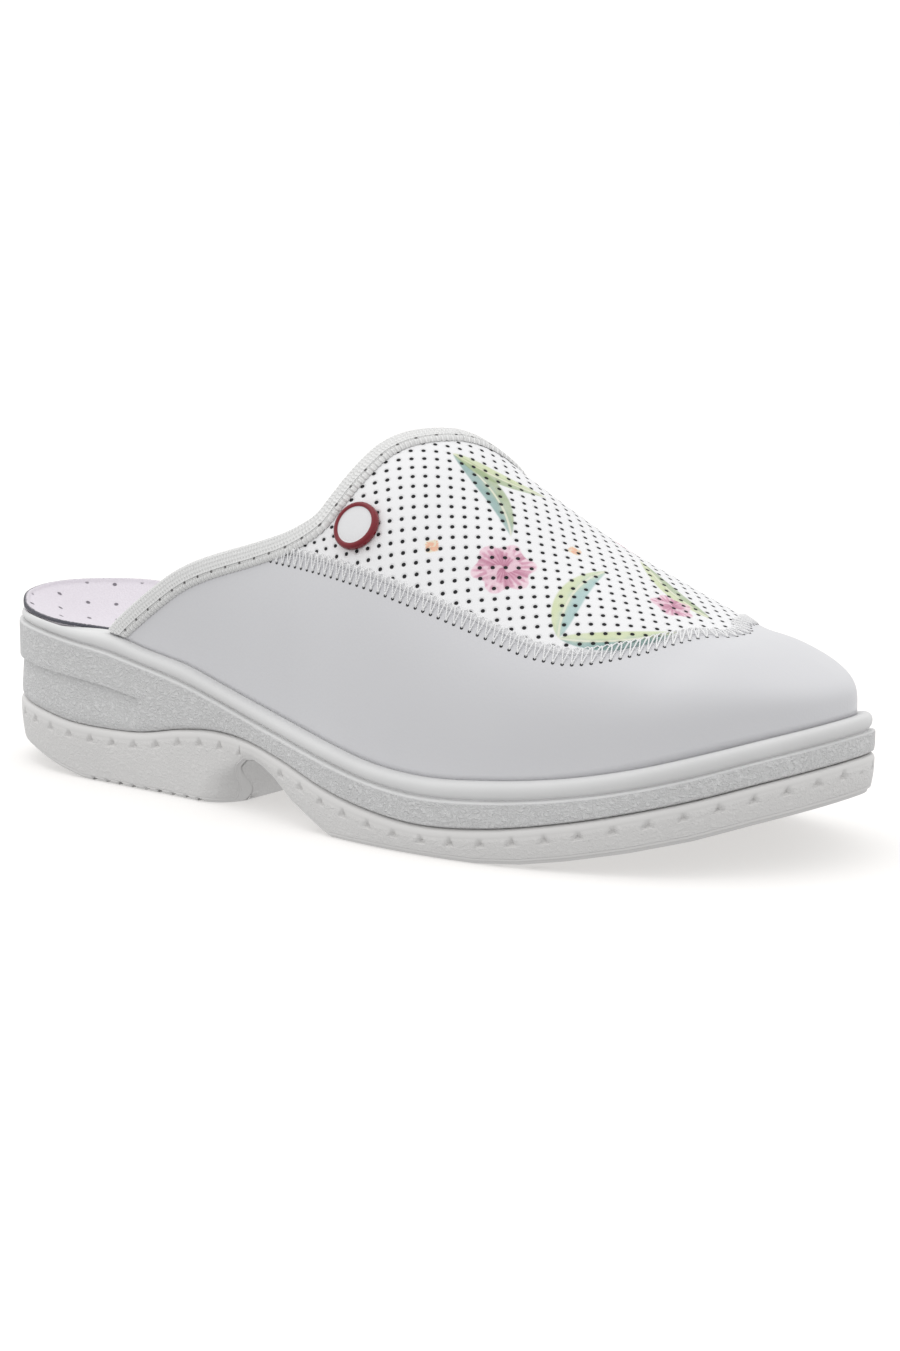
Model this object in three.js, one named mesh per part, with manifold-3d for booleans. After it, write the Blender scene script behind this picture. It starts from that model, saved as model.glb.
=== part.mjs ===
// Open-backed work slipper for the right foot, in millimetres.
// +X points to the toe, +Z up, +Y to the inner (medial) side. The origin is on the floor,
// under the middle of the sole.

import * as THREE from 'three';
import { mergeVertices } from 'three/addons/utils/BufferGeometryUtils.js';
import Module from 'manifold-3d';

const wasm = await Module();
wasm.setup();

// Driving dimensions
const soleLength = 260;
const ballWidth = 97;
const rimHeight = 43;
const instepHeight = 100;
const clearance = 0.3;

// Upper
const leather = 2.4;
const featherInset = 4.5;
const sideBulge = 1.0;
const insertThickness = 1.0;
const insertSink = 0.2;
const tapeWidth = 5;
const tapeThickness = 0.9;

// Sole
const grooveDepth = 1.5;
const grooveWidth = 2.4;
const rimOverhang = 0.8;
const rimNotch = 1.8;
const seatMargin = 1.7;
const heelSeatInset = 5.0;
const insoleThickness = 4.0;
const insoleSink = 0.3;
const treadStep = 1.0;
const treadInset = 1.7;

// Dents and grooves cut into the sole
const nickPitch = 8.4;
const nickSize = 1.9;
const nickDepth = 1.5;
const nickDrop = 3.4;
const stepGrooveWidth = 1.1;
const stepGrooveDepth = 0.9;
const treadGroovePitch = 5.0;
const treadGrooveWidth = 1.8;
const treadGrooveDepth = 1.2;

// Badge
const badgeRadius = 6.4;
const badgeThickness = 2.0;

// Sole outline: half widths as shares of ballWidth, at shares of soleLength from the heel.
const outlineTable = [
  { at: 0.02, lateral: 0.163, medial: 0.159 },
  { at: 0.06, lateral: 0.258, medial: 0.26 },
  { at: 0.13, lateral: 0.323, medial: 0.329 },
  { at: 0.22, lateral: 0.342, medial: 0.34 },
  { at: 0.34, lateral: 0.368, medial: 0.32 },
  { at: 0.45, lateral: 0.425, medial: 0.33 },
  { at: 0.55, lateral: 0.488, medial: 0.382 },
  { at: 0.64, lateral: 0.507, medial: 0.446 },
  { at: 0.72, lateral: 0.492, medial: 0.494 },
  { at: 0.8, lateral: 0.441, medial: 0.499 },
  { at: 0.88, lateral: 0.352, medial: 0.452 },
  { at: 0.95, lateral: 0.205, medial: 0.351 },
  { at: 0.99, lateral: 0.041, medial: 0.212 },
];
const toeOffset = 0.106;

// Lines along the side of the sole, as shares of rimHeight: the rim's top, the line under the rim,
// and the groove between midsole and outsole.
const sideTable = [
  { at: 0.0, rim: 0.995, band: 0.929, groove: 0.428 },
  { at: 0.08, rim: 0.984, band: 0.914, groove: 0.397 },
  { at: 0.16, rim: 0.951, band: 0.871, groove: 0.352 },
  { at: 0.2, rim: 0.939, band: 0.845, groove: 0.35 },
  { at: 0.25, rim: 0.879, band: 0.794, groove: 0.367 },
  { at: 0.31, rim: 0.817, band: 0.727, groove: 0.432 },
  { at: 0.36, rim: 0.741, band: 0.658, groove: 0.463 },
  { at: 0.41, rim: 0.673, band: 0.589, groove: 0.452 },
  { at: 0.47, rim: 0.6, band: 0.513, groove: 0.379 },
  { at: 0.53, rim: 0.533, band: 0.446, groove: 0.284 },
  { at: 0.59, rim: 0.469, band: 0.381, groove: 0.214 },
  { at: 0.65, rim: 0.445, band: 0.348, groove: 0.179 },
  { at: 0.72, rim: 0.469, band: 0.364, groove: 0.203 },
  { at: 0.8, rim: 0.526, band: 0.421, groove: 0.28 },
  { at: 0.86, rim: 0.602, band: 0.492, groove: 0.362 },
  { at: 0.91, rim: 0.688, band: 0.574, groove: 0.443 },
  { at: 0.95, rim: 0.762, band: 0.653, groove: 0.52 },
  { at: 1.0, rim: 0.848, band: 0.744, groove: 0.61 },
];

// Groove around the heel's band, as shares of rimHeight. It ends on both sides of the waist.
const stepTable = [
  { at: 0.0, groove: 0.698 },
  { at: 0.08, groove: 0.679 },
  { at: 0.16, groove: 0.653 },
  { at: 0.2, groove: 0.633 },
  { at: 0.25, groove: 0.593 },
];
const stepGrooveEnd = 0.25;

// Underside of the sole, as shares of rimHeight: bevelled heel, flat heel, breast, waist,
// flat forefoot and toe spring.
const undersideTable = [
  { at: 0.0, height: 0.165 },
  { at: 0.04, height: 0.135 },
  { at: 0.08, height: 0.1 },
  { at: 0.12, height: 0.05 },
  { at: 0.165, height: 0.0 },
  { at: 0.368, height: 0.0 },
  { at: 0.375, height: 0.06 },
  { at: 0.384, height: 0.17 },
  { at: 0.395, height: 0.265 },
  { at: 0.407, height: 0.32 },
  { at: 0.42, height: 0.335 },
  { at: 0.435, height: 0.308 },
  { at: 0.452, height: 0.255 },
  { at: 0.478, height: 0.15 },
  { at: 0.494, height: 0.108 },
  { at: 0.525, height: 0.03 },
  { at: 0.54, height: 0.0 },
  { at: 0.712, height: 0.0 },
  { at: 0.757, height: 0.022 },
  { at: 0.8, height: 0.064 },
  { at: 0.856, height: 0.134 },
  { at: 0.906, height: 0.211 },
  { at: 0.949, height: 0.297 },
  { at: 1.0, height: 0.39 },
];

// How far the footbed sinks below its edge along the middle, as shares of rimHeight.
const cupTable = [
  { at: 0.0, depth: 0.07 },
  { at: 0.15, depth: 0.15 },
  { at: 0.4, depth: 0.1 },
  { at: 0.65, depth: 0.045 },
  { at: 1.0, depth: 0.03 },
];

// Ridge of the upper: height as a share of instepHeight, side offset as a share of ballWidth,
// and the fullness of the cross-section, where 2 is an ellipse and more is boxier.
const ridgeTable = [
  { at: 0.15, height: 1.04, offset: 0.0, fullness: 2.2 },
  { at: 0.35, height: 1.04, offset: 0.01, fullness: 2.18 },
  { at: 0.44, height: 1.033, offset: 0.015, fullness: 2.16 },
  { at: 0.53, height: 1.003, offset: 0.021, fullness: 2.15 },
  { at: 0.575, height: 0.953, offset: 0.027, fullness: 2.165 },
  { at: 0.615, height: 0.884, offset: 0.033, fullness: 2.18 },
  { at: 0.66, height: 0.809, offset: 0.038, fullness: 2.2 },
  { at: 0.71, height: 0.728, offset: 0.043, fullness: 2.25 },
  { at: 0.76, height: 0.66, offset: 0.048, fullness: 2.36 },
  { at: 0.81, height: 0.595, offset: 0.053, fullness: 2.55 },
  { at: 0.86, height: 0.543, offset: 0.06, fullness: 2.75 },
  { at: 0.9, height: 0.527, offset: 0.067, fullness: 2.86 },
  { at: 0.95, height: 0.496, offset: 0.078, fullness: 3.1 },
  { at: 1.0, height: 0.454, offset: 0.09, fullness: 3.2 },
];
const ridgeBend = 0.66;
const ridgeEnd = 0.83;

// Collar edge: share of soleLength at each girth, from -1 at the sole's lateral side over 0 on the
// ridge to 1 at its medial side. It crosses the ridge aslant, further forward on the medial side.
const collarTable = [
  { girth: -1.0, at: 0.194 },
  { girth: -0.93, at: 0.226 },
  { girth: -0.87, at: 0.255 },
  { girth: -0.795, at: 0.296 },
  { girth: -0.725, at: 0.346 },
  { girth: -0.66, at: 0.402 },
  { girth: -0.62, at: 0.434 },
  { girth: -0.58, at: 0.458 },
  { girth: -0.543, at: 0.474 },
  { girth: -0.489, at: 0.485 },
  { girth: -0.42, at: 0.495 },
  { girth: -0.352, at: 0.504 },
  { girth: -0.256, at: 0.515 },
  { girth: -0.174, at: 0.527 },
  { girth: -0.1, at: 0.539 },
  { girth: 0.0, at: 0.5525 },
  { girth: 0.1, at: 0.563 },
  { girth: 0.174, at: 0.57 },
  { girth: 0.256, at: 0.575 },
  { girth: 0.352, at: 0.576 },
  { girth: 0.42, at: 0.572 },
  { girth: 0.489, at: 0.562 },
  { girth: 0.543, at: 0.549 },
  { girth: 0.6, at: 0.525 },
  { girth: 0.66, at: 0.486 },
  { girth: 0.725, at: 0.43 },
  { girth: 0.795, at: 0.372 },
  { girth: 0.87, at: 0.315 },
  { girth: 0.93, at: 0.268 },
  { girth: 1.0, at: 0.222 },
];

// Seam of the vamp insert: climb at each share of soleLength, the same on both sides.
const seamTable = [
  { at: 0.46, climb: 0.348 },
  { at: 0.52, climb: 0.361 },
  { at: 0.57, climb: 0.38 },
  { at: 0.63, climb: 0.4105 },
  { at: 0.7, climb: 0.4305 },
  { at: 0.76, climb: 0.4295 },
  { at: 0.79, climb: 0.449 },
  { at: 0.82, climb: 0.512 },
  { at: 0.85, climb: 0.611 },
  { at: 0.88, climb: 0.737 },
  { at: 0.92, climb: 0.862 },
  { at: 1.0, climb: 0.93 },
];

// How far the footbed's edge stands above its seat, as shares of rimHeight, at each turn angle: it is
// raised round the heel's back and inner side.
const footbedLiftTable = [
  { turn: -2.0, lift: 0.005 },
  { turn: -1.2, lift: 0.01 },
  { turn: -0.8, lift: 0.012 },
  { turn: -0.55, lift: 0.02 },
  { turn: -0.42, lift: 0.045 },
  { turn: -0.3, lift: 0.075 },
  { turn: -0.1, lift: 0.094 },
  { turn: 0.1, lift: 0.1 },
  { turn: 0.35, lift: 0.096 },
  { turn: 0.65, lift: 0.085 },
  { turn: 0.95, lift: 0.06 },
  { turn: 1.25, lift: 0.025 },
  { turn: 1.5, lift: 0.008 },
  { turn: 2.0, lift: 0.005 },
];

// Where the badge sits on the insert
const badgeAt = { share: 0.53, climb: 0.475 };

// Smooth curve through a table: cubic pieces whose slopes are weighted means of the chords beside
// each row, and straight beyond the ends.
function smooth(xs, ys) {
  const chord = xs.slice(1).map((x, k) => (ys[k + 1] - ys[k]) / (x - xs[k]));
  const slope = xs.map((x, k) => {
    if (k === 0) return chord[0];
    if (k === xs.length - 1) return chord[k - 1];
    const before = x - xs[k - 1];
    const after = xs[k + 1] - x;
    return (chord[k - 1] * after + chord[k] * before) / (before + after);
  });
  const last = xs.length - 1;
  return (x) => {
    if (x <= xs[0]) return ys[0] + slope[0] * (x - xs[0]);
    if (x >= xs[last]) return ys[last] + slope[last] * (x - xs[last]);
    let k = 0;
    while (x > xs[k + 1]) k += 1;
    const step = xs[k + 1] - xs[k];
    const t = (x - xs[k]) / step;
    const rise = ys[k] * (1 + 2 * t) * (1 - t) ** 2 + ys[k + 1] * t * t * (3 - 2 * t);
    return rise + step * t * (1 - t) * (slope[k] * (1 - t) - slope[k + 1] * t);
  };
}

function smoothColumn(table, from, to, scale = 1) {
  return smooth(table.map((row) => row[from]), table.map((row) => row[to] * scale));
}

function straightColumn(table, from, to, scale) {
  const xs = table.map((row) => row[from]);
  const ys = table.map((row) => row[to] * scale);
  return (x) => {
    let k = 0;
    while (k < xs.length - 2 && x > xs[k + 1]) k += 1;
    return ys[k] + ((ys[k + 1] - ys[k]) * (x - xs[k])) / (xs[k + 1] - xs[k]);
  };
}

function ease(x, from, to) {
  const t = Math.min(Math.max((x - from) / (to - from), 0), 1);
  return t * t * (3 - 2 * t);
}

const mix = (a, b, t) => a + (b - a) * t;

// The outline runs once round the sole with a turn angle: 0 at the heel's back, pi at the toe's tip,
// negative along the lateral side and positive along the medial side.
const turnAt = (share) => Math.acos(1 - 2 * share);
const shareAt = (turn) => (1 - Math.cos(turn)) / 2;

function makeOutlineOffset() {
  const medial = outlineTable.map((row) => [turnAt(row.at), row.medial * ballWidth]);
  const lateral = outlineTable.map((row) => [-turnAt(row.at), -row.lateral * ballWidth]).reverse();
  const round = [...lateral, [0, 0], ...medial, [Math.PI, toeOffset * ballWidth]];
  const wrapped = [
    ...round.map(([turn, y]) => [turn - 2 * Math.PI, y]),
    ...round,
    ...round.map(([turn, y]) => [turn + 2 * Math.PI, y]),
  ];
  return smooth(wrapped.map((row) => row[0]), wrapped.map((row) => row[1]));
}

const outlineOffset = makeOutlineOffset();
const outlinePoint = (turn) => new THREE.Vector2(shareAt(turn) * soleLength, outlineOffset(turn));

function outlineInward(turn) {
  const step = 1e-4;
  const along = outlinePoint(turn + step).sub(outlinePoint(turn - step)).normalize();
  return new THREE.Vector2(along.y, -along.x);
}

const rimLine = smoothColumn(sideTable, 'at', 'rim', rimHeight);
const bandLine = smoothColumn(sideTable, 'at', 'band', rimHeight);
const grooveLine = smoothColumn(sideTable, 'at', 'groove', rimHeight);
const stepLine = smoothColumn(stepTable, 'at', 'groove', rimHeight);
const underside = straightColumn(undersideTable, 'at', 'height', rimHeight);
const cupDepth = smoothColumn(cupTable, 'at', 'depth', rimHeight);
const footbedLift = smoothColumn(footbedLiftTable, 'turn', 'lift', rimHeight);

// Builds one closed body from triangles given as point triples: points that coincide are joined
// and triangles that shrink to a line are dropped.
function solidFrom(points, faces) {
  const keys = new Map();
  const positions = [];
  const joined = points.map((p) => {
    const key = [p.x, p.y, p.z].map((value) => Math.round(value * 1e4)).join();
    if (!keys.has(key)) {
      keys.set(key, positions.length / 3);
      positions.push(p.x, p.y, p.z);
    }
    return keys.get(key);
  });
  const index = [];
  for (const face of faces) {
    const [a, b, c] = face.map((corner) => joined[corner]);
    if (a !== b && b !== c && c !== a) index.push(a, b, c);
  }
  const geometry = new THREE.BufferGeometry();
  geometry.setAttribute('position', new THREE.Float32BufferAttribute(positions, 3));
  geometry.setIndex(index);
  return geometry;
}

// Quads between neighbouring rows of a grid whose rows may close on themselves.
function gridFaces(rows, columns, closed, first = 0) {
  const faces = [];
  const spans = closed ? columns : columns - 1;
  for (let r = 0; r < rows - 1; r += 1) {
    for (let c = 0; c < spans; c += 1) {
      const next = (c + 1) % columns;
      const a = first + r * columns + c;
      const b = first + r * columns + next;
      const d = first + (r + 1) * columns + c;
      const e = first + (r + 1) * columns + next;
      faces.push([a, b, e], [a, e, d]);
    }
  }
  return faces;
}

function toManifold(geometry) {
  const bare = new THREE.BufferGeometry();
  bare.setAttribute('position', geometry.getAttribute('position'));
  if (geometry.index) bare.setIndex(geometry.index);
  const merged = mergeVertices(bare, 1e-4);
  return new wasm.Manifold(new wasm.Mesh({
    numProp: 3,
    vertProperties: new Float32Array(merged.getAttribute('position').array),
    triVerts: new Uint32Array(merged.index.array),
  }));
}

function fromManifold(solid) {
  const mesh = solid.getMesh();
  const geometry = new THREE.BufferGeometry();
  geometry.setAttribute('position', new THREE.Float32BufferAttribute(mesh.vertProperties, 3));
  geometry.setIndex(new THREE.Uint32BufferAttribute(mesh.triVerts, 1));
  return geometry;
}

function cutAll(geometry, cutters) {
  const result = cutters.reduce((solid, cutter) => solid.subtract(toManifold(cutter)), toManifold(geometry));
  return fromManifold(result);
}

// Stations round the sole: evenly turned ones, and one at each bend of the underside.
function stationTurns(perSide, extraShares) {
  const extras = extraShares.map(turnAt);
  const gap = Math.PI / perSide;
  const closest = gap * 0.45;
  const even = Array.from({ length: perSide - 1 }, (_, k) => (k + 1) * gap)
    .filter((turn) => extras.every((extra) => Math.abs(extra - turn) > closest));
  const side = [...even, ...extras].sort((a, b) => a - b);
  return [...side.map((turn) => -turn).reverse(), 0, ...side, Math.PI];
}

// Middle line of the sole. It stops short of heel and toe, where stations gather at its ends.
const spineHeel = 0.13;
const spineToe = 0.8;
const spineHeelEnd = 0.08;
const spineToeEnd = 0.92;

function spineShare(share) {
  if (share < spineHeel) return mix(spineHeelEnd, spineHeel, share / spineHeel);
  if (share > spineToe) return mix(spineToe, spineToeEnd, (share - spineToe) / (1 - spineToe));
  return share;
}

function makeStation(turn) {
  const share = shareAt(turn);
  const across = (outlineOffset(turn) + outlineOffset(-turn)) / 2;
  return {
    turn,
    share,
    edge: outlinePoint(turn),
    inward: outlineInward(turn),
    spine: new THREE.Vector2(spineShare(share) * soleLength, across),
  };
}

const insetPoint = (station, inset) => station.edge.clone().addScaledVector(station.inward, inset);

// A sole layer is a stack of rings from the middle of its underside, round its edge, to the middle
// of its top. Each ring gives every station a plan point and a height.
function ringSolid(stations, rings) {
  const points = rings.flatMap((ring) => stations.map((station) => {
    const { inset, toSpine = 0, height } = ring(station);
    const plan = insetPoint(station, inset).lerp(station.spine, toSpine);
    return new THREE.Vector3(plan.x, plan.y, height(plan.x / soleLength, station));
  }));
  return solidFrom(points, gridFaces(rings.length, stations.length, true).map(([a, b, c]) => [a, c, b]));
}

// The underside's bends from the flat heel to the toe spring each get a station of their own.
const undersideBends = undersideTable.slice(4, 18).map((row) => row.at);
const stationsPerSide = 24;
const soleStations = stationTurns(stationsPerSide, undersideBends).map(makeStation);

// A ring at a fixed inset from the outline, with its height worked out from the share along the sole.
const edgeRing = (inset, height) => () => ({ inset, height });

// A ring part of the way from an inset edge to the middle line.
const innerRing = (inset, toSpine, height) => (station) => ({
  inset: typeof inset === 'function' ? inset(station) : inset,
  toSpine,
  height,
});

// Side of the outsole, from the tread slab up to the groove. Where the sole is thin, the lip and the
// slab take a share of its thickness instead of their full height.
const lipHeightMost = 2.2;
const lipShareMost = 0.35;
const lipCorner = 0.35;
const slabShareMost = 0.15;
const slabCorner = 0.3;
const slabLedge = 0.8;
const wallRows = [
  { inset: 0.8, drop: 0.78 },
  { inset: 0.2, drop: 0.52 },
];

function makeOutsoleBody() {
  const top = (share) => grooveLine(share) - clearance / 2;
  const room = (share) => grooveLine(share) - underside(share);
  const lip = (share) => grooveLine(share) - Math.min(lipHeightMost, lipShareMost * room(share));
  const slabTop = (share) => underside(share) + Math.min(treadStep, slabShareMost * room(share));
  const slabFoot = (share) => mix(slabTop(share), underside(share), 0.1);
  const mouth = (share) => (grooveLine(share) + lip(share)) / 2;
  const between = (drop) => (share) => mix(grooveLine(share), underside(share), drop);
  return ringSolid(soleStations, [
    innerRing(grooveDepth, 1, underside),
    edgeRing(treadInset + slabCorner, underside),
    edgeRing(treadInset, slabFoot),
    edgeRing(treadInset - slabLedge, slabTop),
    ...wallRows.map(({ inset, drop }) => edgeRing(inset, between(drop))),
    edgeRing(0, lip),
    edgeRing(lipCorner, mouth),
    edgeRing(grooveDepth, top),
    innerRing(grooveDepth, 1, top),
  ]);
}

// Small three-sided dents along the side, at an even pitch along the outline.
function nickCutters() {
  const steps = 2000;
  const cutters = [];
  for (const side of [-1, 1]) {
    let walked = 0;
    let due = nickPitch / 2;
    let before = outlinePoint(0);
    for (let k = 1; k <= steps; k += 1) {
      const turn = (side * Math.PI * k) / steps;
      const here = outlinePoint(turn);
      walked += here.distanceTo(before);
      before = here;
      if (walked < due) continue;
      due += nickPitch;
      const inward = outlineInward(turn);
      const dent = new THREE.ConeGeometry(nickSize, nickDepth * 2, 3);
      dent.rotateX(-Math.PI / 2);
      const place = new THREE.Matrix4().makeBasis(
        new THREE.Vector3(inward.y, -inward.x, 0),
        new THREE.Vector3(0, 0, 1),
        new THREE.Vector3(-inward.x, -inward.y, 0),
      );
      dent.applyMatrix4(place);
      const share = here.x / soleLength;
      dent.translate(here.x, here.y, grooveLine(share) - nickDrop);
      cutters.push(dent);
    }
  }
  return cutters;
}

// Straight channels across the tread, under the flat of the heel and of the forefoot.
const heelTread = { from: 0.18, to: 0.35, reach: 1.0 };
const foreTread = { from: 0.56, to: 0.7, reach: 0.36 };

function treadCutters() {
  return [heelTread, foreTread].flatMap((zone) => {
    const start = zone.from * soleLength;
    const count = Math.floor(((zone.to - zone.from) * soleLength) / treadGroovePitch) + 1;
    return Array.from({ length: count }, (_, k) => {
      const channel = new THREE.BoxGeometry(treadGrooveWidth, zone.reach * ballWidth * 2, treadGrooveDepth * 2);
      channel.translate(start + k * treadGroovePitch, 0, 0);
      return channel;
    });
  });
}

function makeOutsole() {
  return cutAll(makeOutsoleBody(), [...nickCutters(), ...treadCutters()]);
}

// Inset of the footbed's edge: close to the rim round the heel, and inside the upper further on.
const upperSeat = featherInset + leather + seatMargin;
const bedInset = (station) => mix(heelSeatInset, upperSeat, ease(station.share, 0.1, 0.18));
const bedTop = (share) => rimLine(share) - insoleSink;

// The footbed sinks along a parabola from its edge to the middle line.
const bedSink = (share, toSpine) => cupDepth(share) * (1 - (1 - toSpine) ** 2);
const bedFloor = (toSpine) => (share) => (
  bedTop(share) - insoleThickness - clearance - bedSink(share, toSpine)
);

// Side of the midsole, from the groove up: the band, the notch under the rim, and the rim's bead.
const bandCorner = 0.35;
const bandFullest = 0.35;
const bandShoulder = [
  { inset: 0.25, drop: 1.5 },
  { inset: 0.8, drop: 0.6 },
];
const rimBead = [
  { past: 0, rise: 0.3 },
  { past: 0.1, rise: 0.6 },
  { past: 1.2, rise: 0.93 },
];
const rimFlatInset = 3.3;
const bedDraft = 0.2;
const bedMidway = 0.4;

function makeMidsoleBody() {
  const under = (share) => grooveLine(share) + clearance / 2;
  const bandRise = (part) => (share) => mix(grooveLine(share), bandLine(share), part);
  const rimRise = (part) => (share) => mix(bandLine(share), rimLine(share), part);
  return ringSolid(soleStations, [
    innerRing(grooveDepth, 1, under),
    edgeRing(grooveDepth, under),
    edgeRing(bandCorner, (share) => grooveLine(share) + grooveWidth / 2),
    edgeRing(0, bandRise(bandFullest)),
    ...bandShoulder.map(({ inset, drop }) => edgeRing(inset, (share) => bandLine(share) - drop)),
    edgeRing(rimNotch, bandLine),
    ...rimBead.map(({ past, rise }) => edgeRing(rimOverhang + past, rimRise(rise))),
    edgeRing(rimFlatInset, rimLine),
    innerRing(bedInset, 0, rimLine),
    innerRing((station) => bedInset(station) + bedDraft, 0, bedFloor(0)),
    innerRing(bedInset, bedMidway, bedFloor(bedMidway)),
    innerRing(bedInset, 1, bedFloor(1)),
  ]);
}

// A three-cornered strip that follows the heel's outline, to cut the groove in its band. It reaches
// past the outline on the outside.
const cutterReach = 1;

function stepGrooveCutter() {
  const turns = soleStations.map((station) => station.turn)
    .filter((turn) => shareAt(turn) < stepGrooveEnd);
  const section = [
    [stepGrooveDepth, 0],
    [-cutterReach, -stepGrooveWidth],
    [-cutterReach, stepGrooveWidth],
  ];
  const points = turns.flatMap((turn) => {
    const station = makeStation(turn);
    return section.map(([inset, rise]) => {
      const plan = insetPoint(station, inset);
      return new THREE.Vector3(plan.x, plan.y, stepLine(station.share) + rise);
    });
  });
  const end = points.length - 3;
  const faces = [...gridFaces(turns.length, 3, true), [0, 2, 1], [end, end + 1, end + 2]];
  return solidFrom(points, faces);
}

function makeMidsole() {
  return cutAll(makeMidsoleBody(), [stepGrooveCutter()]);
}

const insoleCorner = 0.8;

function makeInsole() {
  const edge = (station) => bedInset(station) + bedDraft + clearance;
  const seat = (toSpine) => (share) => bedTop(share) - bedSink(share, toSpine);
  const base = (toSpine) => (share) => seat(toSpine)(share) - insoleThickness;
  const top = (toSpine) => (share, station) => (
    seat(toSpine)(share) + footbedLift(station.turn) * (1 - toSpine) ** 3
  );
  return ringSolid(soleStations, [
    innerRing(edge, 1, base(1)),
    innerRing(edge, bedMidway, base(bedMidway)),
    innerRing(edge, 0, base(0)),
    innerRing(edge, 0, (share, station) => top(0)(share, station) - insoleCorner),
    innerRing((station) => edge(station) + insoleCorner, 0, top(0)),
    innerRing(edge, 0.15, top(0.15)),
    innerRing(edge, bedMidway, top(bedMidway)),
    innerRing(edge, 1, top(1)),
  ]);
}

// The upper's outer surface. From the feather line on the rim a station climbs to the ridge along
// a quarter of a superellipse: climb 0 is at the sole and 1 on the ridge.
const ridgeHeight = smoothColumn(ridgeTable, 'at', 'height', instepHeight);
const ridgeOffset = smoothColumn(ridgeTable, 'at', 'offset', ballWidth);
const fullness = smoothColumn(ridgeTable, 'at', 'fullness');

function ridgeShare(share) {
  if (share < ridgeBend) return share;
  const room = 1 - ridgeBend;
  const along = (share - ridgeBend) / room;
  return ridgeBend + room * (along + ((ridgeEnd - ridgeBend) / room - 1) * along * along);
}

const footHeight = (x) => rimLine(x / soleLength) + clearance * 2;

// The sides bulge out most at this climb's share of the bulging stretch.
const bulgeStretch = 1.6;

function upperPoint(turn, climb) {
  const share = shareAt(turn);
  const inward = outlineInward(turn);
  const feather = outlinePoint(turn).addScaledVector(inward, featherInset);
  const ridge = new THREE.Vector2(ridgeShare(share) * soleLength, ridgeOffset(ridgeShare(share)));
  const power = 2 / fullness(share);
  const angle = (climb * Math.PI) / 2;
  const across = 1 - Math.abs(Math.cos(angle)) ** power;
  const rise = Math.abs(Math.sin(angle)) ** power;
  const bulge = sideBulge * Math.sin(Math.PI * Math.min(climb * bulgeStretch, 1)) ** 2;
  const foot = footHeight(feather.x);
  const plan = feather.lerp(ridge, across).addScaledVector(inward, -bulge);
  return new THREE.Vector3(plan.x, plan.y, mix(foot, ridgeHeight(plan.x / soleLength), rise));
}

const collarAtGirth = smoothColumn(collarTable, 'girth', 'at');
const collarShare = (side, climb) => collarAtGirth(side * (1 - climb));
const seamClimb = smoothColumn(seamTable, 'at', 'climb');

// The surface at a spot: its point, its two tangents and its outward normal.
function surfaceFrame(turn, climb) {
  const small = 1e-3;
  const here = upperPoint(turn, climb);
  const alongTurn = upperPoint(turn + small, climb).sub(here).divideScalar(small);
  const climbStep = climb > 0.5 ? -small : small;
  const alongClimb = upperPoint(turn, climb + climbStep).sub(here).divideScalar(climbStep);
  const normal = alongClimb.clone().cross(alongTurn).normalize();
  return { here, alongTurn, alongClimb, normal };
}

// On the ridge and at the toe's tip the normal is the mean of both sides, so that they meet.
function surfaceNormal(turn, climb) {
  const margin = 1e-3;
  const nearTurn = Math.min(Math.abs(turn), Math.PI - margin);
  const nearClimb = Math.min(climb, 1 - margin);
  if (nearTurn === Math.abs(turn) && nearClimb === climb) return surfaceFrame(turn, climb).normal;
  return surfaceFrame(nearTurn, nearClimb).normal.add(surfaceFrame(-nearTurn, nearClimb).normal).normalize();
}

// A wall on the upper's surface: a grid of (turn, climb) whose rows run from the lateral edge over
// the ridge to the medial edge, and whose columns run from the collar to the toe's tip. The outer
// and inner faces are the surface moved along its normals. A feathered wall stands on the rim.
function wall(grid, outer, inner, feathered) {
  const rows = grid.length;
  const columns = grid[0].length;
  const spots = grid.flatMap((row, r) => row.map(([turn, climb]) => {
    const onFoot = feathered && (r === 0 || r === rows - 1);
    const normal = surfaceNormal(turn, climb);
    if (onFoot) normal.setZ(0).normalize();
    return { point: upperPoint(turn, climb), normal, onFoot };
  }));
  const moved = (distance) => spots.map(({ point, normal, onFoot }) => {
    const spot = point.clone().addScaledVector(normal, distance);
    return onFoot ? spot.setZ(footHeight(spot.x)) : spot;
  });
  const points = [...moved(outer), ...moved(inner)];
  const count = spots.length;
  const faces = gridFaces(rows, columns, false);
  faces.push(...gridFaces(rows, columns, false, count).map(([a, b, c]) => [a, c, b]));
  for (let c = 0; c < columns - 1; c += 1) {
    const far = (rows - 1) * columns + c;
    faces.push([c, count + c, count + c + 1], [c, count + c + 1, c + 1]);
    faces.push([far, far + 1, count + far + 1], [far, count + far + 1, count + far]);
  }
  for (let r = 0; r < rows - 1; r += 1) {
    const a = r * columns;
    const b = a + columns;
    faces.push([a, b, count + b], [a, count + b, count + a]);
  }
  return solidFrom(points, faces);
}

const bothSides = (climbs) => [
  ...climbs.map((climb) => [-1, climb]),
  ...climbs.slice(0, -1).reverse().map((climb) => [1, climb]),
];

// Climbs at which the walls have a row, closer together where the collar turns upwards. Upper,
// insert and binding share them, so that their facets run side by side.
const edgeClimbs = [
  0, 0.08, 0.15, 0.22, 0.29, 0.36, 0.41, 0.44, 0.465, 0.49, 0.53, 0.58, 0.64, 0.71, 0.79, 0.87, 0.94, 1,
];
const upperColumns = 17;
const columnCrowding = 1.2;
const columnAt = (from, k, columns) => mix(turnAt(from), Math.PI, (k / (columns - 1)) ** columnCrowding);

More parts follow.
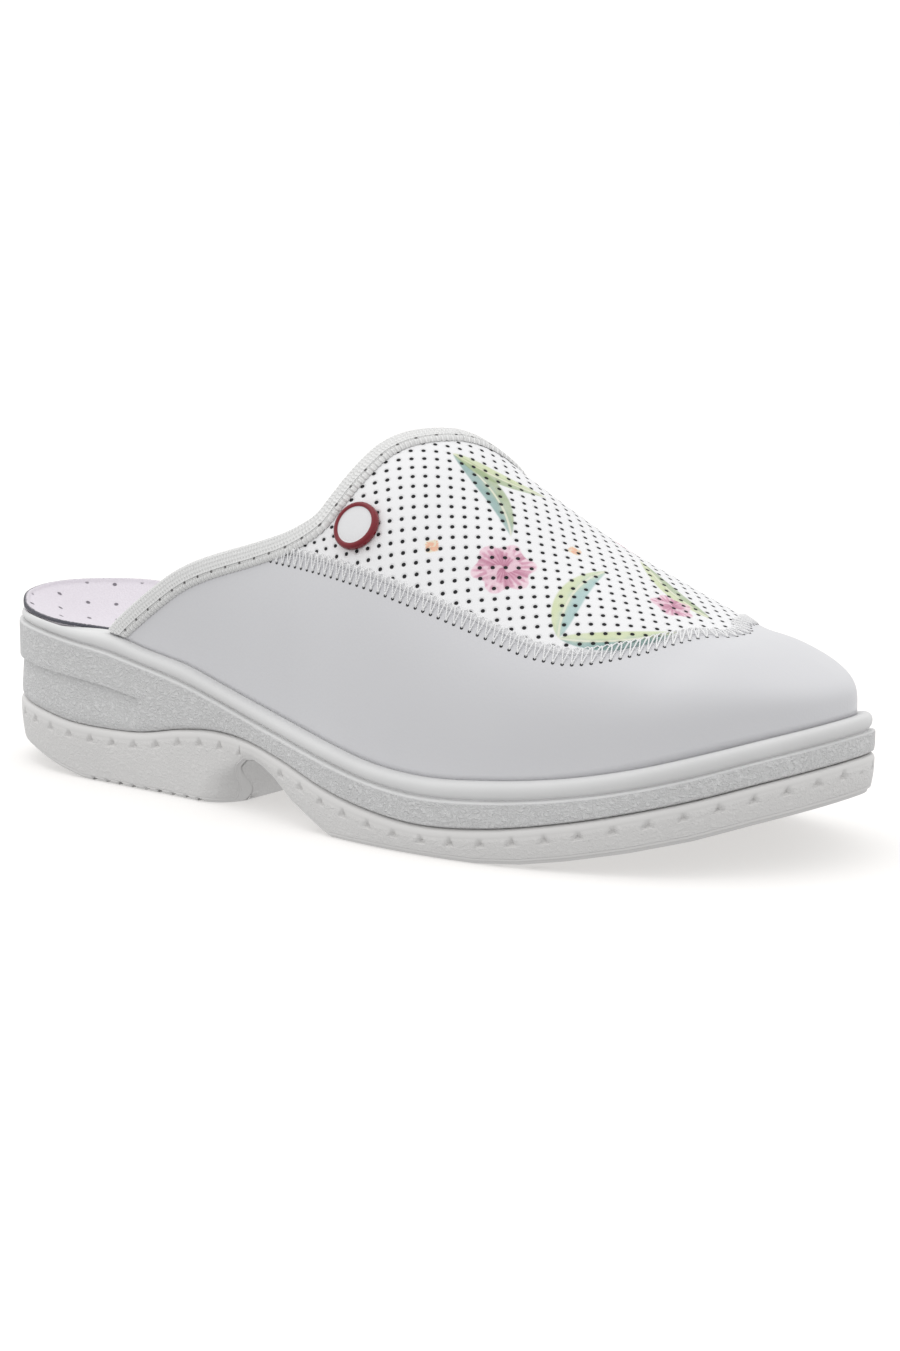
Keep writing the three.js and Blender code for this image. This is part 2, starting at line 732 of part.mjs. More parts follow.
function makeUpper() {
  const grid = bothSides(edgeClimbs).map(([side, climb]) => (
    Array.from({ length: upperColumns }, (_, k) => [
      side * columnAt(collarShare(side, climb), k, upperColumns),
      climb,
    ])
  ));
  const shell = wall(grid, 0, -leather, true);
  const depth = insertSink + insertThickness + recessClearance;
  const recess = wall(insertGrid(recessClearance, recessOverrun), leather, -depth, false);
  return cutAll(shell, [recess]);
}

// Grid of the insert: from the collar to the toe, and from the seam to the ridge. The seam is moved
// down by spread, and the collar edge moved to the heel by setBack.
const insertStart = seamTable[0].climb;
const insertRows = [insertStart, ...edgeClimbs.filter((climb) => climb > insertStart)]
  .map((climb) => (climb - insertStart) / (1 - insertStart));
const insertColumns = 17;
const recessClearance = clearance * 1.6;
const recessOverrun = 1.5;

// The seam's climb once the seam has moved down over the surface by spread, square to itself.
function spreadSeam(turn, spread) {
  const small = 1e-3;
  const climb = seamClimb(shareAt(turn));
  const { alongTurn, alongClimb } = surfaceFrame(turn, climb);
  const rise = (seamClimb(shareAt(turn + small)) - seamClimb(shareAt(turn - small))) / (2 * small);
  const tangent = alongClimb.clone().multiplyScalar(rise).add(alongTurn);
  return climb - (spread * tangent.length()) / alongClimb.cross(alongTurn).length();
}

function insertGrid(spread, setBack) {
  return bothSides(insertRows).map(([side, row]) => {
    let start = collarShare(side, 0.5);
    for (let k = 0; k < 12; k += 1) start = collarShare(side, mix(seamClimb(start), 1, row));
    return Array.from({ length: insertColumns }, (_, k) => {
      const share = shareAt(columnAt(start, k, insertColumns)) - (k === 0 ? setBack / soleLength : 0);
      const turn = side * turnAt(share);
      return [turn, mix(spreadSeam(turn, spread), 1, row)];
    });
  });
}

function makeVampInsert() {
  return wall(insertGrid(0, 0), -insertSink, -insertSink - insertThickness, false);
}

// Walks over the upper's surface from a spot in a given direction, in equal steps. A path that
// passes the ridge goes on down the other side.
const lowestClimb = 0.015;

function walk(turn, climb, direction, distance, steps) {
  const path = [[turn, climb]];
  for (let k = 0; k < steps; k += 1) {
    const [t, c] = path[path.length - 1];
    const { alongTurn, alongClimb } = surfaceFrame(t, c);
    const a = alongTurn.dot(alongTurn);
    const b = alongTurn.dot(alongClimb);
    const d = alongClimb.dot(alongClimb);
    const p = alongTurn.dot(direction);
    const q = alongClimb.dot(direction);
    const scale = distance / steps / (a * d - b * b);
    const nextTurn = t + (p * d - q * b) * scale;
    const nextClimb = Math.max(c + (q * a - p * b) * scale, lowestClimb);
    path.push(nextClimb > 1 ? [-nextTurn, 2 - nextClimb] : [nextTurn, nextClimb]);
  }
  return path;
}

// Binding: a tape folded over the collar edge. Its section runs down the outside, round the edge
// and up the inside, a clearance away from the leather.
const tapeClearance = clearance * 1.4;
const foldRoundness = 0.55;

function makeCollarBinding() {
  const spot = (girth) => [Math.sign(girth || -1) * turnAt(collarAtGirth(girth)), 1 - Math.abs(girth)];
  const step = 0.004;
  const sections = bothSides([lowestClimb, ...edgeClimbs.slice(1)]).map(([side, climb]) => {
    const girth = side * (1 - climb);
    const ahead = upperPoint(...spot(Math.min(girth + step, 1)));
    const along = ahead.sub(upperPoint(...spot(Math.max(girth - step, -1)))).normalize();
    const away = along.cross(surfaceNormal(...spot(girth)));
    const legs = walk(...spot(girth), away, tapeWidth, 2)
      .map(([turn, height]) => ({ here: upperPoint(turn, height), normal: surfaceNormal(turn, height) }));
    const at = (leg, offset) => legs[leg].here.clone().addScaledVector(legs[leg].normal, offset);
    const fold = (offset, back) => at(0, offset).addScaledVector(away, -back);
    const near = tapeClearance;
    const far = tapeClearance + tapeThickness;
    const inner = -leather - near;
    const innerFar = -leather - far;
    return [
      at(2, far), at(1, far), fold(far, 0), fold(far * foldRoundness, far),
      fold(-leather - far * foldRoundness, far), fold(innerFar, 0), at(1, innerFar), at(2, innerFar),
      at(2, inner), at(1, inner), fold(inner, 0), fold(inner, near),
      fold(near, near), fold(near, 0), at(1, near), at(2, near),
    ];
  });
  const size = sections[0].length;
  const faces = gridFaces(sections.length, size, true).map(([a, b, c]) => [a, c, b]);
  const cap = (start, flipped) => {
    for (let k = 0; k < size / 2 - 1; k += 1) {
      const [a, b, c, d] = [k, k + 1, size - 2 - k, size - 1 - k].map((corner) => start + corner);
      faces.push(...(flipped ? [[a, c, b], [a, d, c]] : [[a, b, c], [a, c, d]]));
    }
  };
  cap(0, false);
  cap((sections.length - 1) * size, true);
  return solidFrom(sections.flat(), faces);
}

// Badge: a small dished disc with a raised rim, bent to lie on the insert.
const badgeProfile = [
  { radius: 0.0, lift: 0.8 },
  { radius: 0.78, lift: 0.8 },
  { radius: 0.82, lift: 1.0 },
  { radius: 0.94, lift: 1.0 },
  { radius: 1.0, lift: 0.75 },
  { radius: 1.0, lift: 0.1 },
  { radius: 0.95, lift: 0.0 },
  { radius: 0.0, lift: 0.0 },
];
const badgeSegments = 20;

function makeBadge() {
  const centre = -turnAt(badgeAt.share);
  const frame = surfaceFrame(centre, badgeAt.climb);
  const ahead = frame.alongTurn.clone().negate().normalize();
  const up = frame.normal.clone().cross(ahead);
  const base = clearance - insertSink;
  const points = badgeProfile.flatMap(({ radius, lift }) => (
    Array.from({ length: badgeSegments }, (_, k) => {
      const angle = (2 * Math.PI * k) / badgeSegments;
      const direction = ahead.clone().multiplyScalar(Math.cos(angle)).addScaledVector(up, Math.sin(angle));
      const [turn, climb] = walk(centre, badgeAt.climb, direction, radius * badgeRadius, 2).pop();
      const spot = surfaceFrame(turn, climb);
      return spot.here.addScaledVector(frame.normal, base + lift * badgeThickness);
    })
  ));
  const faces = gridFaces(badgeProfile.length, badgeSegments, true).map(([a, b, c]) => [a, c, b]);
  return solidFrom(points, faces);
}

function material(colour, roughness) {
  return new THREE.MeshStandardMaterial({ color: colour, roughness, metalness: 0 });
}

// The finished group puts the middle of the sole's outline over the origin.
const outlineReach = soleStations.map((station) => station.edge.y);
const middle = (Math.min(...outlineReach) + Math.max(...outlineReach)) / 2;

const slipper = new THREE.Group();
slipper.position.set(-soleLength / 2, -middle, 0);

function add(name, geometry, finish) {
  const mesh = new THREE.Mesh(geometry, finish);
  mesh.name = name;
  slipper.add(mesh);
}

add('outsole', makeOutsole(), material('#c9c9c6', 0.6));
add('midsole', makeMidsole(), material('#dcdcdb', 0.62));
add('insole', makeInsole(), material('#cfc8cf', 0.9));
add('upper', makeUpper(), material('#e6e6e8', 0.42));
add('vamp_insert', makeVampInsert(), material('#eeeeee', 0.5));
add('collar_binding', makeCollarBinding(), material('#e4e3df', 0.85));
add('badge', makeBadge(), material('#8f1420', 0.4));

export default slipper;
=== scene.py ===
"""Looks of the open-backed work slipper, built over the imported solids.

Lengths in the shape functions are millimetres with x counted from the heel's back; dressed() brings
them to the frame, in metres, with the origin on the floor under the middle of the sole.
"""

import bpy
import numpy as np
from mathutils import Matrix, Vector


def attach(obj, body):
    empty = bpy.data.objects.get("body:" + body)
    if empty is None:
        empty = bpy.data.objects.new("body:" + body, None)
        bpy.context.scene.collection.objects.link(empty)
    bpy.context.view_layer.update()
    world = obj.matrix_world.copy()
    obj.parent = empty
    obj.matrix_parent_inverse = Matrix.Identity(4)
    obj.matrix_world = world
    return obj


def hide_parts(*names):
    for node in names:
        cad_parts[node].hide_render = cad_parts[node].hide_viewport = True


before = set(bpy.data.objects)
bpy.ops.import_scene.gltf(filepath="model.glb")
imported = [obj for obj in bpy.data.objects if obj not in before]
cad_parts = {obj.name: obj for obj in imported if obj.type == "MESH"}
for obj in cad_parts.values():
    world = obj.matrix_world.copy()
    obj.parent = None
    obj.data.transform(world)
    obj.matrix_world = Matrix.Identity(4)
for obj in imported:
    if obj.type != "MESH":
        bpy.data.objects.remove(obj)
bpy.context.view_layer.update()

SOLE_LENGTH = 260.0
BALL_WIDTH = 97.0
RIM_HEIGHT = 43.0
INSTEP_HEIGHT = 100.0
LEATHER = 2.4
FEATHER_INSET = 4.5
SIDE_BULGE = 1.0
TAPE_WIDTH = 5.0
FOOTBED_THICKNESS = 4.0
FOOTBED_DROP = 0.3
LAYER_GAP = 0.3
GROOVE_GAP = 0.04
FINE_STEPS = 4001
PI = np.pi

# Rows of the sole's outline: share of the length, half widths as shares of the ball width.
OUTLINE = np.array([
    (0.02, 0.163, 0.159), (0.06, 0.258, 0.26), (0.13, 0.323, 0.329), (0.22, 0.342, 0.34),
    (0.34, 0.368, 0.32), (0.45, 0.425, 0.33), (0.55, 0.488, 0.382), (0.64, 0.507, 0.446),
    (0.72, 0.492, 0.494), (0.8, 0.441, 0.499), (0.88, 0.352, 0.452), (0.95, 0.205, 0.351),
    (0.99, 0.041, 0.212),
])
TOE_OFFSET = 0.106

# Lines along the side: share of the length, then rim, band top and groove as shares of RIM_HEIGHT.
SIDE = np.array([
    (0.0, 0.995, 0.929, 0.428), (0.08, 0.984, 0.914, 0.397), (0.16, 0.951, 0.871, 0.352),
    (0.2, 0.939, 0.845, 0.35), (0.25, 0.879, 0.794, 0.367), (0.31, 0.817, 0.727, 0.432),
    (0.36, 0.741, 0.658, 0.463), (0.41, 0.673, 0.589, 0.452), (0.47, 0.6, 0.513, 0.379),
    (0.53, 0.533, 0.446, 0.284), (0.59, 0.469, 0.381, 0.214), (0.65, 0.445, 0.348, 0.179),
    (0.72, 0.469, 0.364, 0.203), (0.8, 0.526, 0.421, 0.28), (0.86, 0.602, 0.492, 0.362),
    (0.91, 0.688, 0.574, 0.443), (0.95, 0.762, 0.653, 0.52), (1.0, 0.848, 0.744, 0.61),
])

# The step round the heel, and the underside: share of the length and height.
STEP = np.array([(0.0, 0.698), (0.08, 0.679), (0.16, 0.653), (0.2, 0.633), (0.25, 0.593)])
STEP_END = 0.25
UNDERSIDE = np.array([
    (0.0, 0.165), (0.04, 0.135), (0.08, 0.1), (0.12, 0.05), (0.165, 0.0), (0.368, 0.0),
    (0.375, 0.06), (0.384, 0.17), (0.395, 0.265), (0.407, 0.32), (0.42, 0.335), (0.435, 0.308),
    (0.452, 0.255), (0.478, 0.15), (0.494, 0.108), (0.525, 0.03),
    (0.54, 0.0), (0.712, 0.0), (0.757, 0.022), (0.8, 0.064), (0.856, 0.134), (0.906, 0.211),
    (0.949, 0.297), (1.0, 0.39),
])

# How far the footbed's edge stands above the rim, against the turn angle; how deep it is cupped.
FOOTBED_LIFT = np.array([
    (-2.0, 0.005), (-1.2, 0.01), (-0.8, 0.012), (-0.55, 0.02), (-0.42, 0.045), (-0.3, 0.075),
    (-0.1, 0.094), (0.1, 0.1), (0.35, 0.096), (0.65, 0.085), (0.95, 0.06), (1.25, 0.025),
    (1.5, 0.008), (2.0, 0.005),
])
CUP = np.array([(0.0, 0.07), (0.15, 0.15), (0.4, 0.1), (0.65, 0.045), (1.0, 0.03)])

# Rows of the ridge: share of the length, height, sideways offset and fullness of the section.
RIDGE = np.array([
    (0.15, 1.04, 0.0, 2.2), (0.35, 1.04, 0.01, 2.18), (0.44, 1.033, 0.015, 2.16),
    (0.53, 1.003, 0.021, 2.15), (0.575, 0.953, 0.027, 2.165), (0.615, 0.884, 0.033, 2.18),
    (0.66, 0.809, 0.038, 2.2), (0.71, 0.728, 0.043, 2.25), (0.76, 0.66, 0.048, 2.36),
    (0.81, 0.595, 0.053, 2.55), (0.86, 0.543, 0.06, 2.75), (0.9, 0.527, 0.067, 2.86),
    (0.95, 0.496, 0.078, 3.1), (1.0, 0.454, 0.09, 3.2),
])
RIDGE_BEND = 0.66
RIDGE_END = 0.83

# Collar edge: girth, from -1 at the lateral foot over 0 on the ridge to 1 at the medial foot, and share.
COLLAR = np.array([
    (-1.0, 0.194), (-0.93, 0.226), (-0.87, 0.255), (-0.795, 0.296), (-0.725, 0.346), (-0.66, 0.402),
    (-0.62, 0.434), (-0.58, 0.458), (-0.543, 0.474), (-0.489, 0.485), (-0.42, 0.495),
    (-0.352, 0.504), (-0.256, 0.515), (-0.174, 0.527), (-0.1, 0.539), (0.0, 0.5525), (0.1, 0.563),
    (0.174, 0.57), (0.256, 0.575), (0.352, 0.576), (0.42, 0.572), (0.489, 0.562), (0.543, 0.549),
    (0.6, 0.525), (0.66, 0.486), (0.725, 0.43), (0.795, 0.372), (0.87, 0.315), (0.93, 0.268),
    (1.0, 0.222),
])

# Seam of the insert: share and climb, the same on both sides.
SEAM = np.array([
    (0.46, 0.348), (0.52, 0.361), (0.57, 0.38), (0.63, 0.4105), (0.7, 0.4305), (0.76, 0.4295),
    (0.79, 0.449), (0.82, 0.512), (0.85, 0.611), (0.88, 0.737), (0.92, 0.862), (1.0, 0.93),
])


def smooth_curve(xs, ys):
    """Cubic pieces through the rows. Each inner slope is the mean of the chords beside it, the nearer
    chord weighing more; beyond the ends the curve runs on straight."""
    xs, ys = np.asarray(xs, float), np.asarray(ys, float)
    gap = np.diff(xs)
    chord = np.diff(ys) / gap
    inner = (chord[:-1] * gap[1:] + chord[1:] * gap[:-1]) / (gap[:-1] + gap[1:])
    slope = np.concatenate([chord[:1], inner, chord[-1:]])

    def value(x):
        x = np.asarray(x, float)
        k = np.clip(np.searchsorted(xs, x, side="right") - 1, 0, len(xs) - 2)
        step = xs[k + 1] - xs[k]
        t = (x - xs[k]) / step
        rise = ys[k] * (1 + 2 * t) * (1 - t) ** 2 + ys[k + 1] * t * t * (3 - 2 * t)
        inside = rise + step * t * (1 - t) * (slope[k] * (1 - t) - slope[k + 1] * t)
        before = ys[0] + slope[0] * (x - xs[0])
        after = ys[-1] + slope[-1] * (x - xs[-1])
        return np.where(x < xs[0], before, np.where(x > xs[-1], after, inside))

    return value


def turn_at(share):
    """Turn angle of a share of the length: the arc cosine of one minus twice the share."""
    return np.arccos(1 - 2 * share)


def share_at(turn):
    """Share of the length at a turn angle: half of one minus its cosine."""
    return (1 - np.cos(turn)) / 2


def round_outline():
    """Sideways offset of the outline against the turn angle, wrapped once on both sides."""
    medial = np.stack([turn_at(OUTLINE[:, 0]), OUTLINE[:, 2] * BALL_WIDTH], 1)
    lateral = np.stack([-turn_at(OUTLINE[:, 0]), -OUTLINE[:, 1] * BALL_WIDTH], 1)[::-1]
    once = np.concatenate([lateral, [(0, 0)], medial, [(PI, TOE_OFFSET * BALL_WIDTH)]])
    wrapped = np.concatenate([once + (-2 * PI, 0), once, once + (2 * PI, 0)])
    return smooth_curve(wrapped[:, 0], wrapped[:, 1])


outline_offset = round_outline()
rim_line = smooth_curve(SIDE[:, 0], SIDE[:, 1] * RIM_HEIGHT)
band_line = smooth_curve(SIDE[:, 0], SIDE[:, 2] * RIM_HEIGHT)
groove_line = smooth_curve(SIDE[:, 0], SIDE[:, 3] * RIM_HEIGHT)
step_line = smooth_curve(STEP[:, 0], STEP[:, 1] * RIM_HEIGHT)
cup_depth = smooth_curve(CUP[:, 0], CUP[:, 1] * RIM_HEIGHT)
footbed_lift = smooth_curve(FOOTBED_LIFT[:, 0], FOOTBED_LIFT[:, 1] * RIM_HEIGHT)
ridge_height = smooth_curve(RIDGE[:, 0], RIDGE[:, 1] * INSTEP_HEIGHT)
ridge_offset = smooth_curve(RIDGE[:, 0], RIDGE[:, 2] * BALL_WIDTH)
fullness = smooth_curve(RIDGE[:, 0], RIDGE[:, 3])
collar_share = smooth_curve(COLLAR[:, 0], COLLAR[:, 1])
seam_climb = smooth_curve(SEAM[:, 0], SEAM[:, 1])


def underside(share):
    """Height of the sole's underside: straight from row to row."""
    return np.interp(share, UNDERSIDE[:, 0], UNDERSIDE[:, 1] * RIM_HEIGHT)


def outline_point(turn):
    """Plan point of the outline: the share of the length, and the offset of the turn."""
    return np.stack([share_at(turn) * SOLE_LENGTH, outline_offset(turn)], -1)


def unit(vectors):
    """Vectors divided by their length."""
    return vectors / np.maximum(np.linalg.norm(vectors, axis=-1, keepdims=True), 1e-12)


def outline_inward(turn):
    """Unit plan vector square to the outline, towards the middle of the sole."""
    along = unit(outline_point(turn + 1e-4) - outline_point(turn - 1e-4))
    return np.stack([along[..., 1], -along[..., 0]], -1)


def ease(x, start, end):
    """Smooth step from 0 at start to 1 at end."""
    t = np.clip((x - start) / (end - start), 0, 1)
    return t * t * (3 - 2 * t)


def walked_along(points):
    """Distance walked along a path, at each of its points."""
    return np.concatenate([[0], np.cumsum(np.linalg.norm(np.diff(points, axis=0), axis=1))])


def even_turns(count):
    """Turn angles from heel to toe whose outline points are equally far apart, taken on both sides."""
    turns = np.linspace(0, PI, FINE_STEPS)
    walked = walked_along(outline_point(turns)) + walked_along(outline_point(-turns))
    half = np.interp(np.linspace(0, walked[-1], count + 1), walked, turns)
    return np.concatenate([-half[1:-1][::-1], half])


all_offsets = outline_offset(np.linspace(-PI, PI, FINE_STEPS))
SOLE_MIDDLE = (all_offsets.max() + all_offsets.min()) / 2


def grid_faces(rows, columns, wrap=False):
    """Corner numbers of the quads between neighbours of a grid; wrap closes the rows on themselves."""
    r, c = np.meshgrid(np.arange(rows - 1), np.arange(columns if wrap else columns - 1), indexing="ij")
    right = (c + 1) % columns
    near, far = r * columns, (r + 1) * columns
    return np.stack([near + c, near + right, far + right, far + c], -1).reshape(-1, 4)


def volume(points, faces):
    """Signed volume of the quads' cones to the middle: positive where faces point outwards."""
    p = points - points.mean(0)
    a, b, c, d = (p[faces[:, k]] for k in range(4))
    return np.sum(a * np.cross(b, c)) + np.sum(a * np.cross(c, d))


def dressed(name, points, faces, finish, replaces=(), values=None):
    """Makes a smooth-shaded piece from millimetre points and quads, rides it on the shoe, and stores
    one value per point for each named attribute."""
    points = np.asarray(points, float).reshape(-1, 3)
    if volume(points, faces) < 0:
        faces = faces[:, ::-1]
    places = ((points - (SOLE_LENGTH / 2, SOLE_MIDDLE, 0)) / 1000).astype(np.float32)
    mesh = bpy.data.meshes.new(name)
    mesh.vertices.add(len(places))
    mesh.vertices.foreach_set("co", places.ravel())
    mesh.loops.add(faces.size)
    mesh.loops.foreach_set("vertex_index", faces.ravel().astype(np.int32))
    mesh.polygons.add(len(faces))
    mesh.polygons.foreach_set("loop_start", np.arange(0, faces.size, 4, dtype=np.int32))
    mesh.update(calc_edges=True)
    for key, numbers in (values or {}).items():
        attribute = mesh.attributes.new(key, "FLOAT", "POINT")
        attribute.data.foreach_set("value", np.asarray(numbers, np.float32).ravel())
    mesh.shade_smooth()
    mesh.materials.append(finish.material)
    mesh.validate(clean_customdata=False)
    piece = bpy.data.objects.new(name, mesh)
    bpy.context.scene.collection.objects.link(piece)
    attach(piece, "root")
    if replaces:
        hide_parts(*replaces)


def operator(operation, swapped=False):
    """Method that joins a field and another value with a Math node."""
    def method(self, other):
        return self.math(operation, other, self) if swapped else self.math(operation, self, other)

    return method


class Field:
    """One socket of a finish. Operators between fields and numbers add Math nodes."""

    def __init__(self, finish, socket):
        self.finish = finish
        self.socket = socket

    def math(self, operation, *values):
        """Math node over the values."""
        return self.finish.node("ShaderNodeMath", {"operation": operation}, dict(enumerate(values)))

    __add__ = __radd__ = operator("ADD")
    __mul__ = __rmul__ = operator("MULTIPLY")
    __sub__ = operator("SUBTRACT")
    __rsub__ = operator("SUBTRACT", swapped=True)
    __truediv__ = operator("DIVIDE")
    __pow__ = operator("POWER")
    at_least = operator("MAXIMUM")
    at_most = operator("MINIMUM")

    def __abs__(self):
        return self.math("ABSOLUTE", self)

    def wave(self):
        """Sine of the field."""
        return self.math("SINE", self)

    def off_whole(self):
        """Signed distance to the nearest whole number."""
        return self - self.math("ROUND", self)

    def root(self):
        """Square root, of nothing less than zero."""
        return self.math("SQRT", self.at_least(0.0))

    def rise(self, start, end):
        """Smooth step from 0 at start to 1 at end; it falls where start is the larger."""
        t = ((self - start) / (end - start)).at_least(0.0).at_most(1.0)
        return t * t * (3.0 - 2.0 * t)


class Finish:
    """The node tree of one material."""

    def __init__(self, name, **sockets):
        self.material = bpy.data.materials.new(name)
        self.material.use_nodes = True
        self.tree = self.material.node_tree
        self.shader = self.tree.nodes["Principled BSDF"]
        self.give(**sockets)

    def feed(self, socket, value):
        """Links a field to the socket, or sets a constant on it."""
        if isinstance(value, Field):
            self.tree.links.new(value.socket, socket)
        else:
            socket.default_value = value

    def node(self, kind, settings=None, sockets=None, output=0):
        """Any node: its settings are set first, then its sockets get values or links."""
        node = self.tree.nodes.new(kind)
        for key, value in (settings or {}).items():
            setattr(node, key, value)
        for key, value in (sockets or {}).items():
            self.feed(node.inputs[key], value)
        return Field(self, node.outputs[output])

    def give(self, **sockets):
        """Feeds the shader's sockets, named with underscores for blanks."""
        for key, value in sockets.items():
            self.feed(self.shader.inputs[key.replace("_", " ")], value)

    def value(self, name):
        """A number stored on the piece's points."""
        return self.node("ShaderNodeAttribute", {"attribute_name": name}, output="Fac")

    def place(self, scale=(1.0, 1.0, 1.0)):
        """Object coordinates, in metres, stretched by scale."""
        where = self.node("ShaderNodeTexCoord", output="Object")
        return self.node("ShaderNodeVectorMath", {"operation": "MULTIPLY"}, {0: where, 1: scale})

    def axis(self, name):
        """One object coordinate, in millimetres."""
        return self.node("ShaderNodeSeparateXYZ", None, {0: self.place((1000.0,) * 3)}, name)

    def noise(self, size, detail=2.0, roughness=0.5, where=None):
        """Noise between 0 and 1 whose lumps are about size millimetres."""
        sockets = {"Vector": where or self.place(), "Scale": 1000.0 / size}
        sockets.update({"Detail": detail, "Roughness": roughness})
        return self.node("ShaderNodeTexNoise", None, sockets)

    def cells(self, size):
        """Distance to the nearest of scattered points about size millimetres apart."""
        return self.node("ShaderNodeTexVoronoi", None, {"Vector": self.place(), "Scale": 1000.0 / size})

    def blend(self, factor, first, second):
        """Colour from first to second as factor goes from 0 to 1."""
        return self.node("ShaderNodeMix", {"data_type": "RGBA"}, {0: factor, 6: first, 7: second}, 2)

    def bump(self, height, depth, strength=1.0):
        """Normal of a relief whose height field spans depth millimetres."""
        sockets = {"Height": height, "Distance": depth / 1000.0, "Strength": strength}
        return self.node("ShaderNodeBump", None, sockets)


def grey(value, warm=0.0):
    """Neutral colour, a little warmer or cooler."""
    return (value * (1 + warm), value, value * (1 - warm), 1.0)


def foam_finish(name, light, dark, warm):
    """Moulded polyurethane: fine wrinkles where the piece's grain value is 1, smooth where it is 0. The
    colour is painted darker in the wrinkles' valleys as shade, and smooth parts are coloured darker, which in
    the notch under the rim stands as painted shade.
    """
    finish = Finish(name, Roughness=0.52, Specular_IOR_Level=0.42)
    grain = finish.value("grain")
    folds = finish.noise(1.9, 4.0, 0.62, finish.place((1.0, 1.0, 1.35)))
    pits = finish.noise(0.6, 2.0, 0.55)
    wrinkle = abs(folds - 0.5) * 3.0 + pits * 0.55
    cloud = finish.noise(22.0, 3.0)
    # Painted shade: the colour darkens in the wrinkles' valleys, where the relief is lowest.
    crease_shade = (0.75 - wrinkle).at_least(0.0)
    # Smooth parts are coloured darker; in the notch under the rim this darker colour is painted shade.
    shade = (crease_shade * grain * 0.9 + (1.0 - grain) * 0.4 + cloud * 0.25).at_most(1.0)
    finish.give(
        Base_Color=finish.blend(shade, grey(light, warm), grey(dark, warm)),
        Roughness=0.47 + 0.12 * grain + 0.08 * cloud,
        Normal=finish.bump(wrinkle * grain + finish.noise(5.0) * 0.12, 0.65, 0.95),
    )
    return finish


midsole_foam = foam_finish("midsole_foam", 0.89, 0.59, 0.0)
outsole_foam = foam_finish("outsole_foam", 0.86, 0.64, 0.012)


INSOLE_HOLE_PITCH = 8.0


def insole_finish():
    """Napped microfibre with punched holes in a diagonal pattern, and a dark ragged cut edge. The holes are
    painted dark as the shade inside them, over a dent in the bump.
    """
    finish = Finish("insole_microfibre", Roughness=0.95, Specular_IOR_Level=0.15)
    finish.give(Sheen_Weight=0.3, Sheen_Roughness=0.5)
    inward = finish.value("inward")
    nap = finish.noise(0.5, 3.0, 0.65)
    x, y = finish.axis("X"), finish.axis("Y")
    column = ((x + y) / (INSOLE_HOLE_PITCH * 1.414)).off_whole() * INSOLE_HOLE_PITCH
    row = ((x - y) / (INSOLE_HOLE_PITCH * 1.414)).off_whole() * INSOLE_HOLE_PITCH
    # Holes: painted dark as the shade inside them, and dented in the bump.
    hole_shade = (column * column + row * row).root().rise(0.75, 0.42) * inward.rise(2.2, 3.2)
    ragged = (inward + (nap - 0.5) * 1.8).rise(1.0, 0.3)
    cloth = finish.blend(nap, (0.68, 0.63, 0.69, 1), (0.88, 0.84, 0.89, 1))
    cloth = finish.blend(hole_shade, cloth, (0.2, 0.18, 0.21, 1))
    cloth = finish.blend(ragged, cloth, (0.09, 0.09, 0.11, 1))
    finish.give(
        Base_Color=cloth,
        Normal=finish.bump(nap * 0.5 - hole_shade * 1.2 + ragged * finish.noise(0.35) * 2.0, 0.3, 0.8),
    )
    return finish


def leather_finish():
    """Smooth satin leather: faint pores, long soft waves and slightly uneven gloss."""
    finish = Finish("upper_leather", Specular_IOR_Level=0.5, Coat_Weight=0.12, Coat_Roughness=0.35)
    waves = finish.noise(26.0, 2.0)
    pores = finish.cells(0.8)
    cloud = finish.noise(35.0, 2.0)
    finish.give(
        Base_Color=finish.blend(cloud, (0.66, 0.66, 0.68, 1), (0.69, 0.69, 0.71, 1)),
        Roughness=0.36 + 0.1 * cloud,
        Normal=finish.bump(waves * 0.8 + pores * 0.05, 0.6, 0.6),
    )
    return finish


def print_leaf(finish, along, across, base, tip, width, bend, colours):
    """One painted leaf. Its middle line is a parabola from base to tip, bent by bend at its middle,
    and its half width follows the root of a parabola. Returns its mask and its colour."""
    length = float(np.hypot(tip[0] - base[0], tip[1] - base[1]))
    cosine, sine = (tip[0] - base[0]) / length, (tip[1] - base[1]) / length
    u = ((along - base[0]) * cosine + (across - base[1]) * sine) / length
    v = (across - base[1]) * cosine - (along - base[0]) * sine
    hump = (u * (1.0 - u) * 4.0).at_least(0.0)
    v = v - hump * bend
    half = hump ** 0.75 * (width / 2) * (1.25 - u * 0.5)
    mask = (half - abs(v)).rise(-0.15, 0.5) * (0.6 + 0.5 * finish.noise(5.0, 3.0)).at_most(1.0)
    dark, light, vein = colours
    side = (v / width + 0.5 + (finish.noise(3.0) - 0.5) * 0.5).rise(0.25, 0.75)
    colour = finish.blend(side, dark, light)
    colour = finish.blend(abs(v).rise(0.45, 0.15) * 0.8, colour, vein)
    return mask, colour


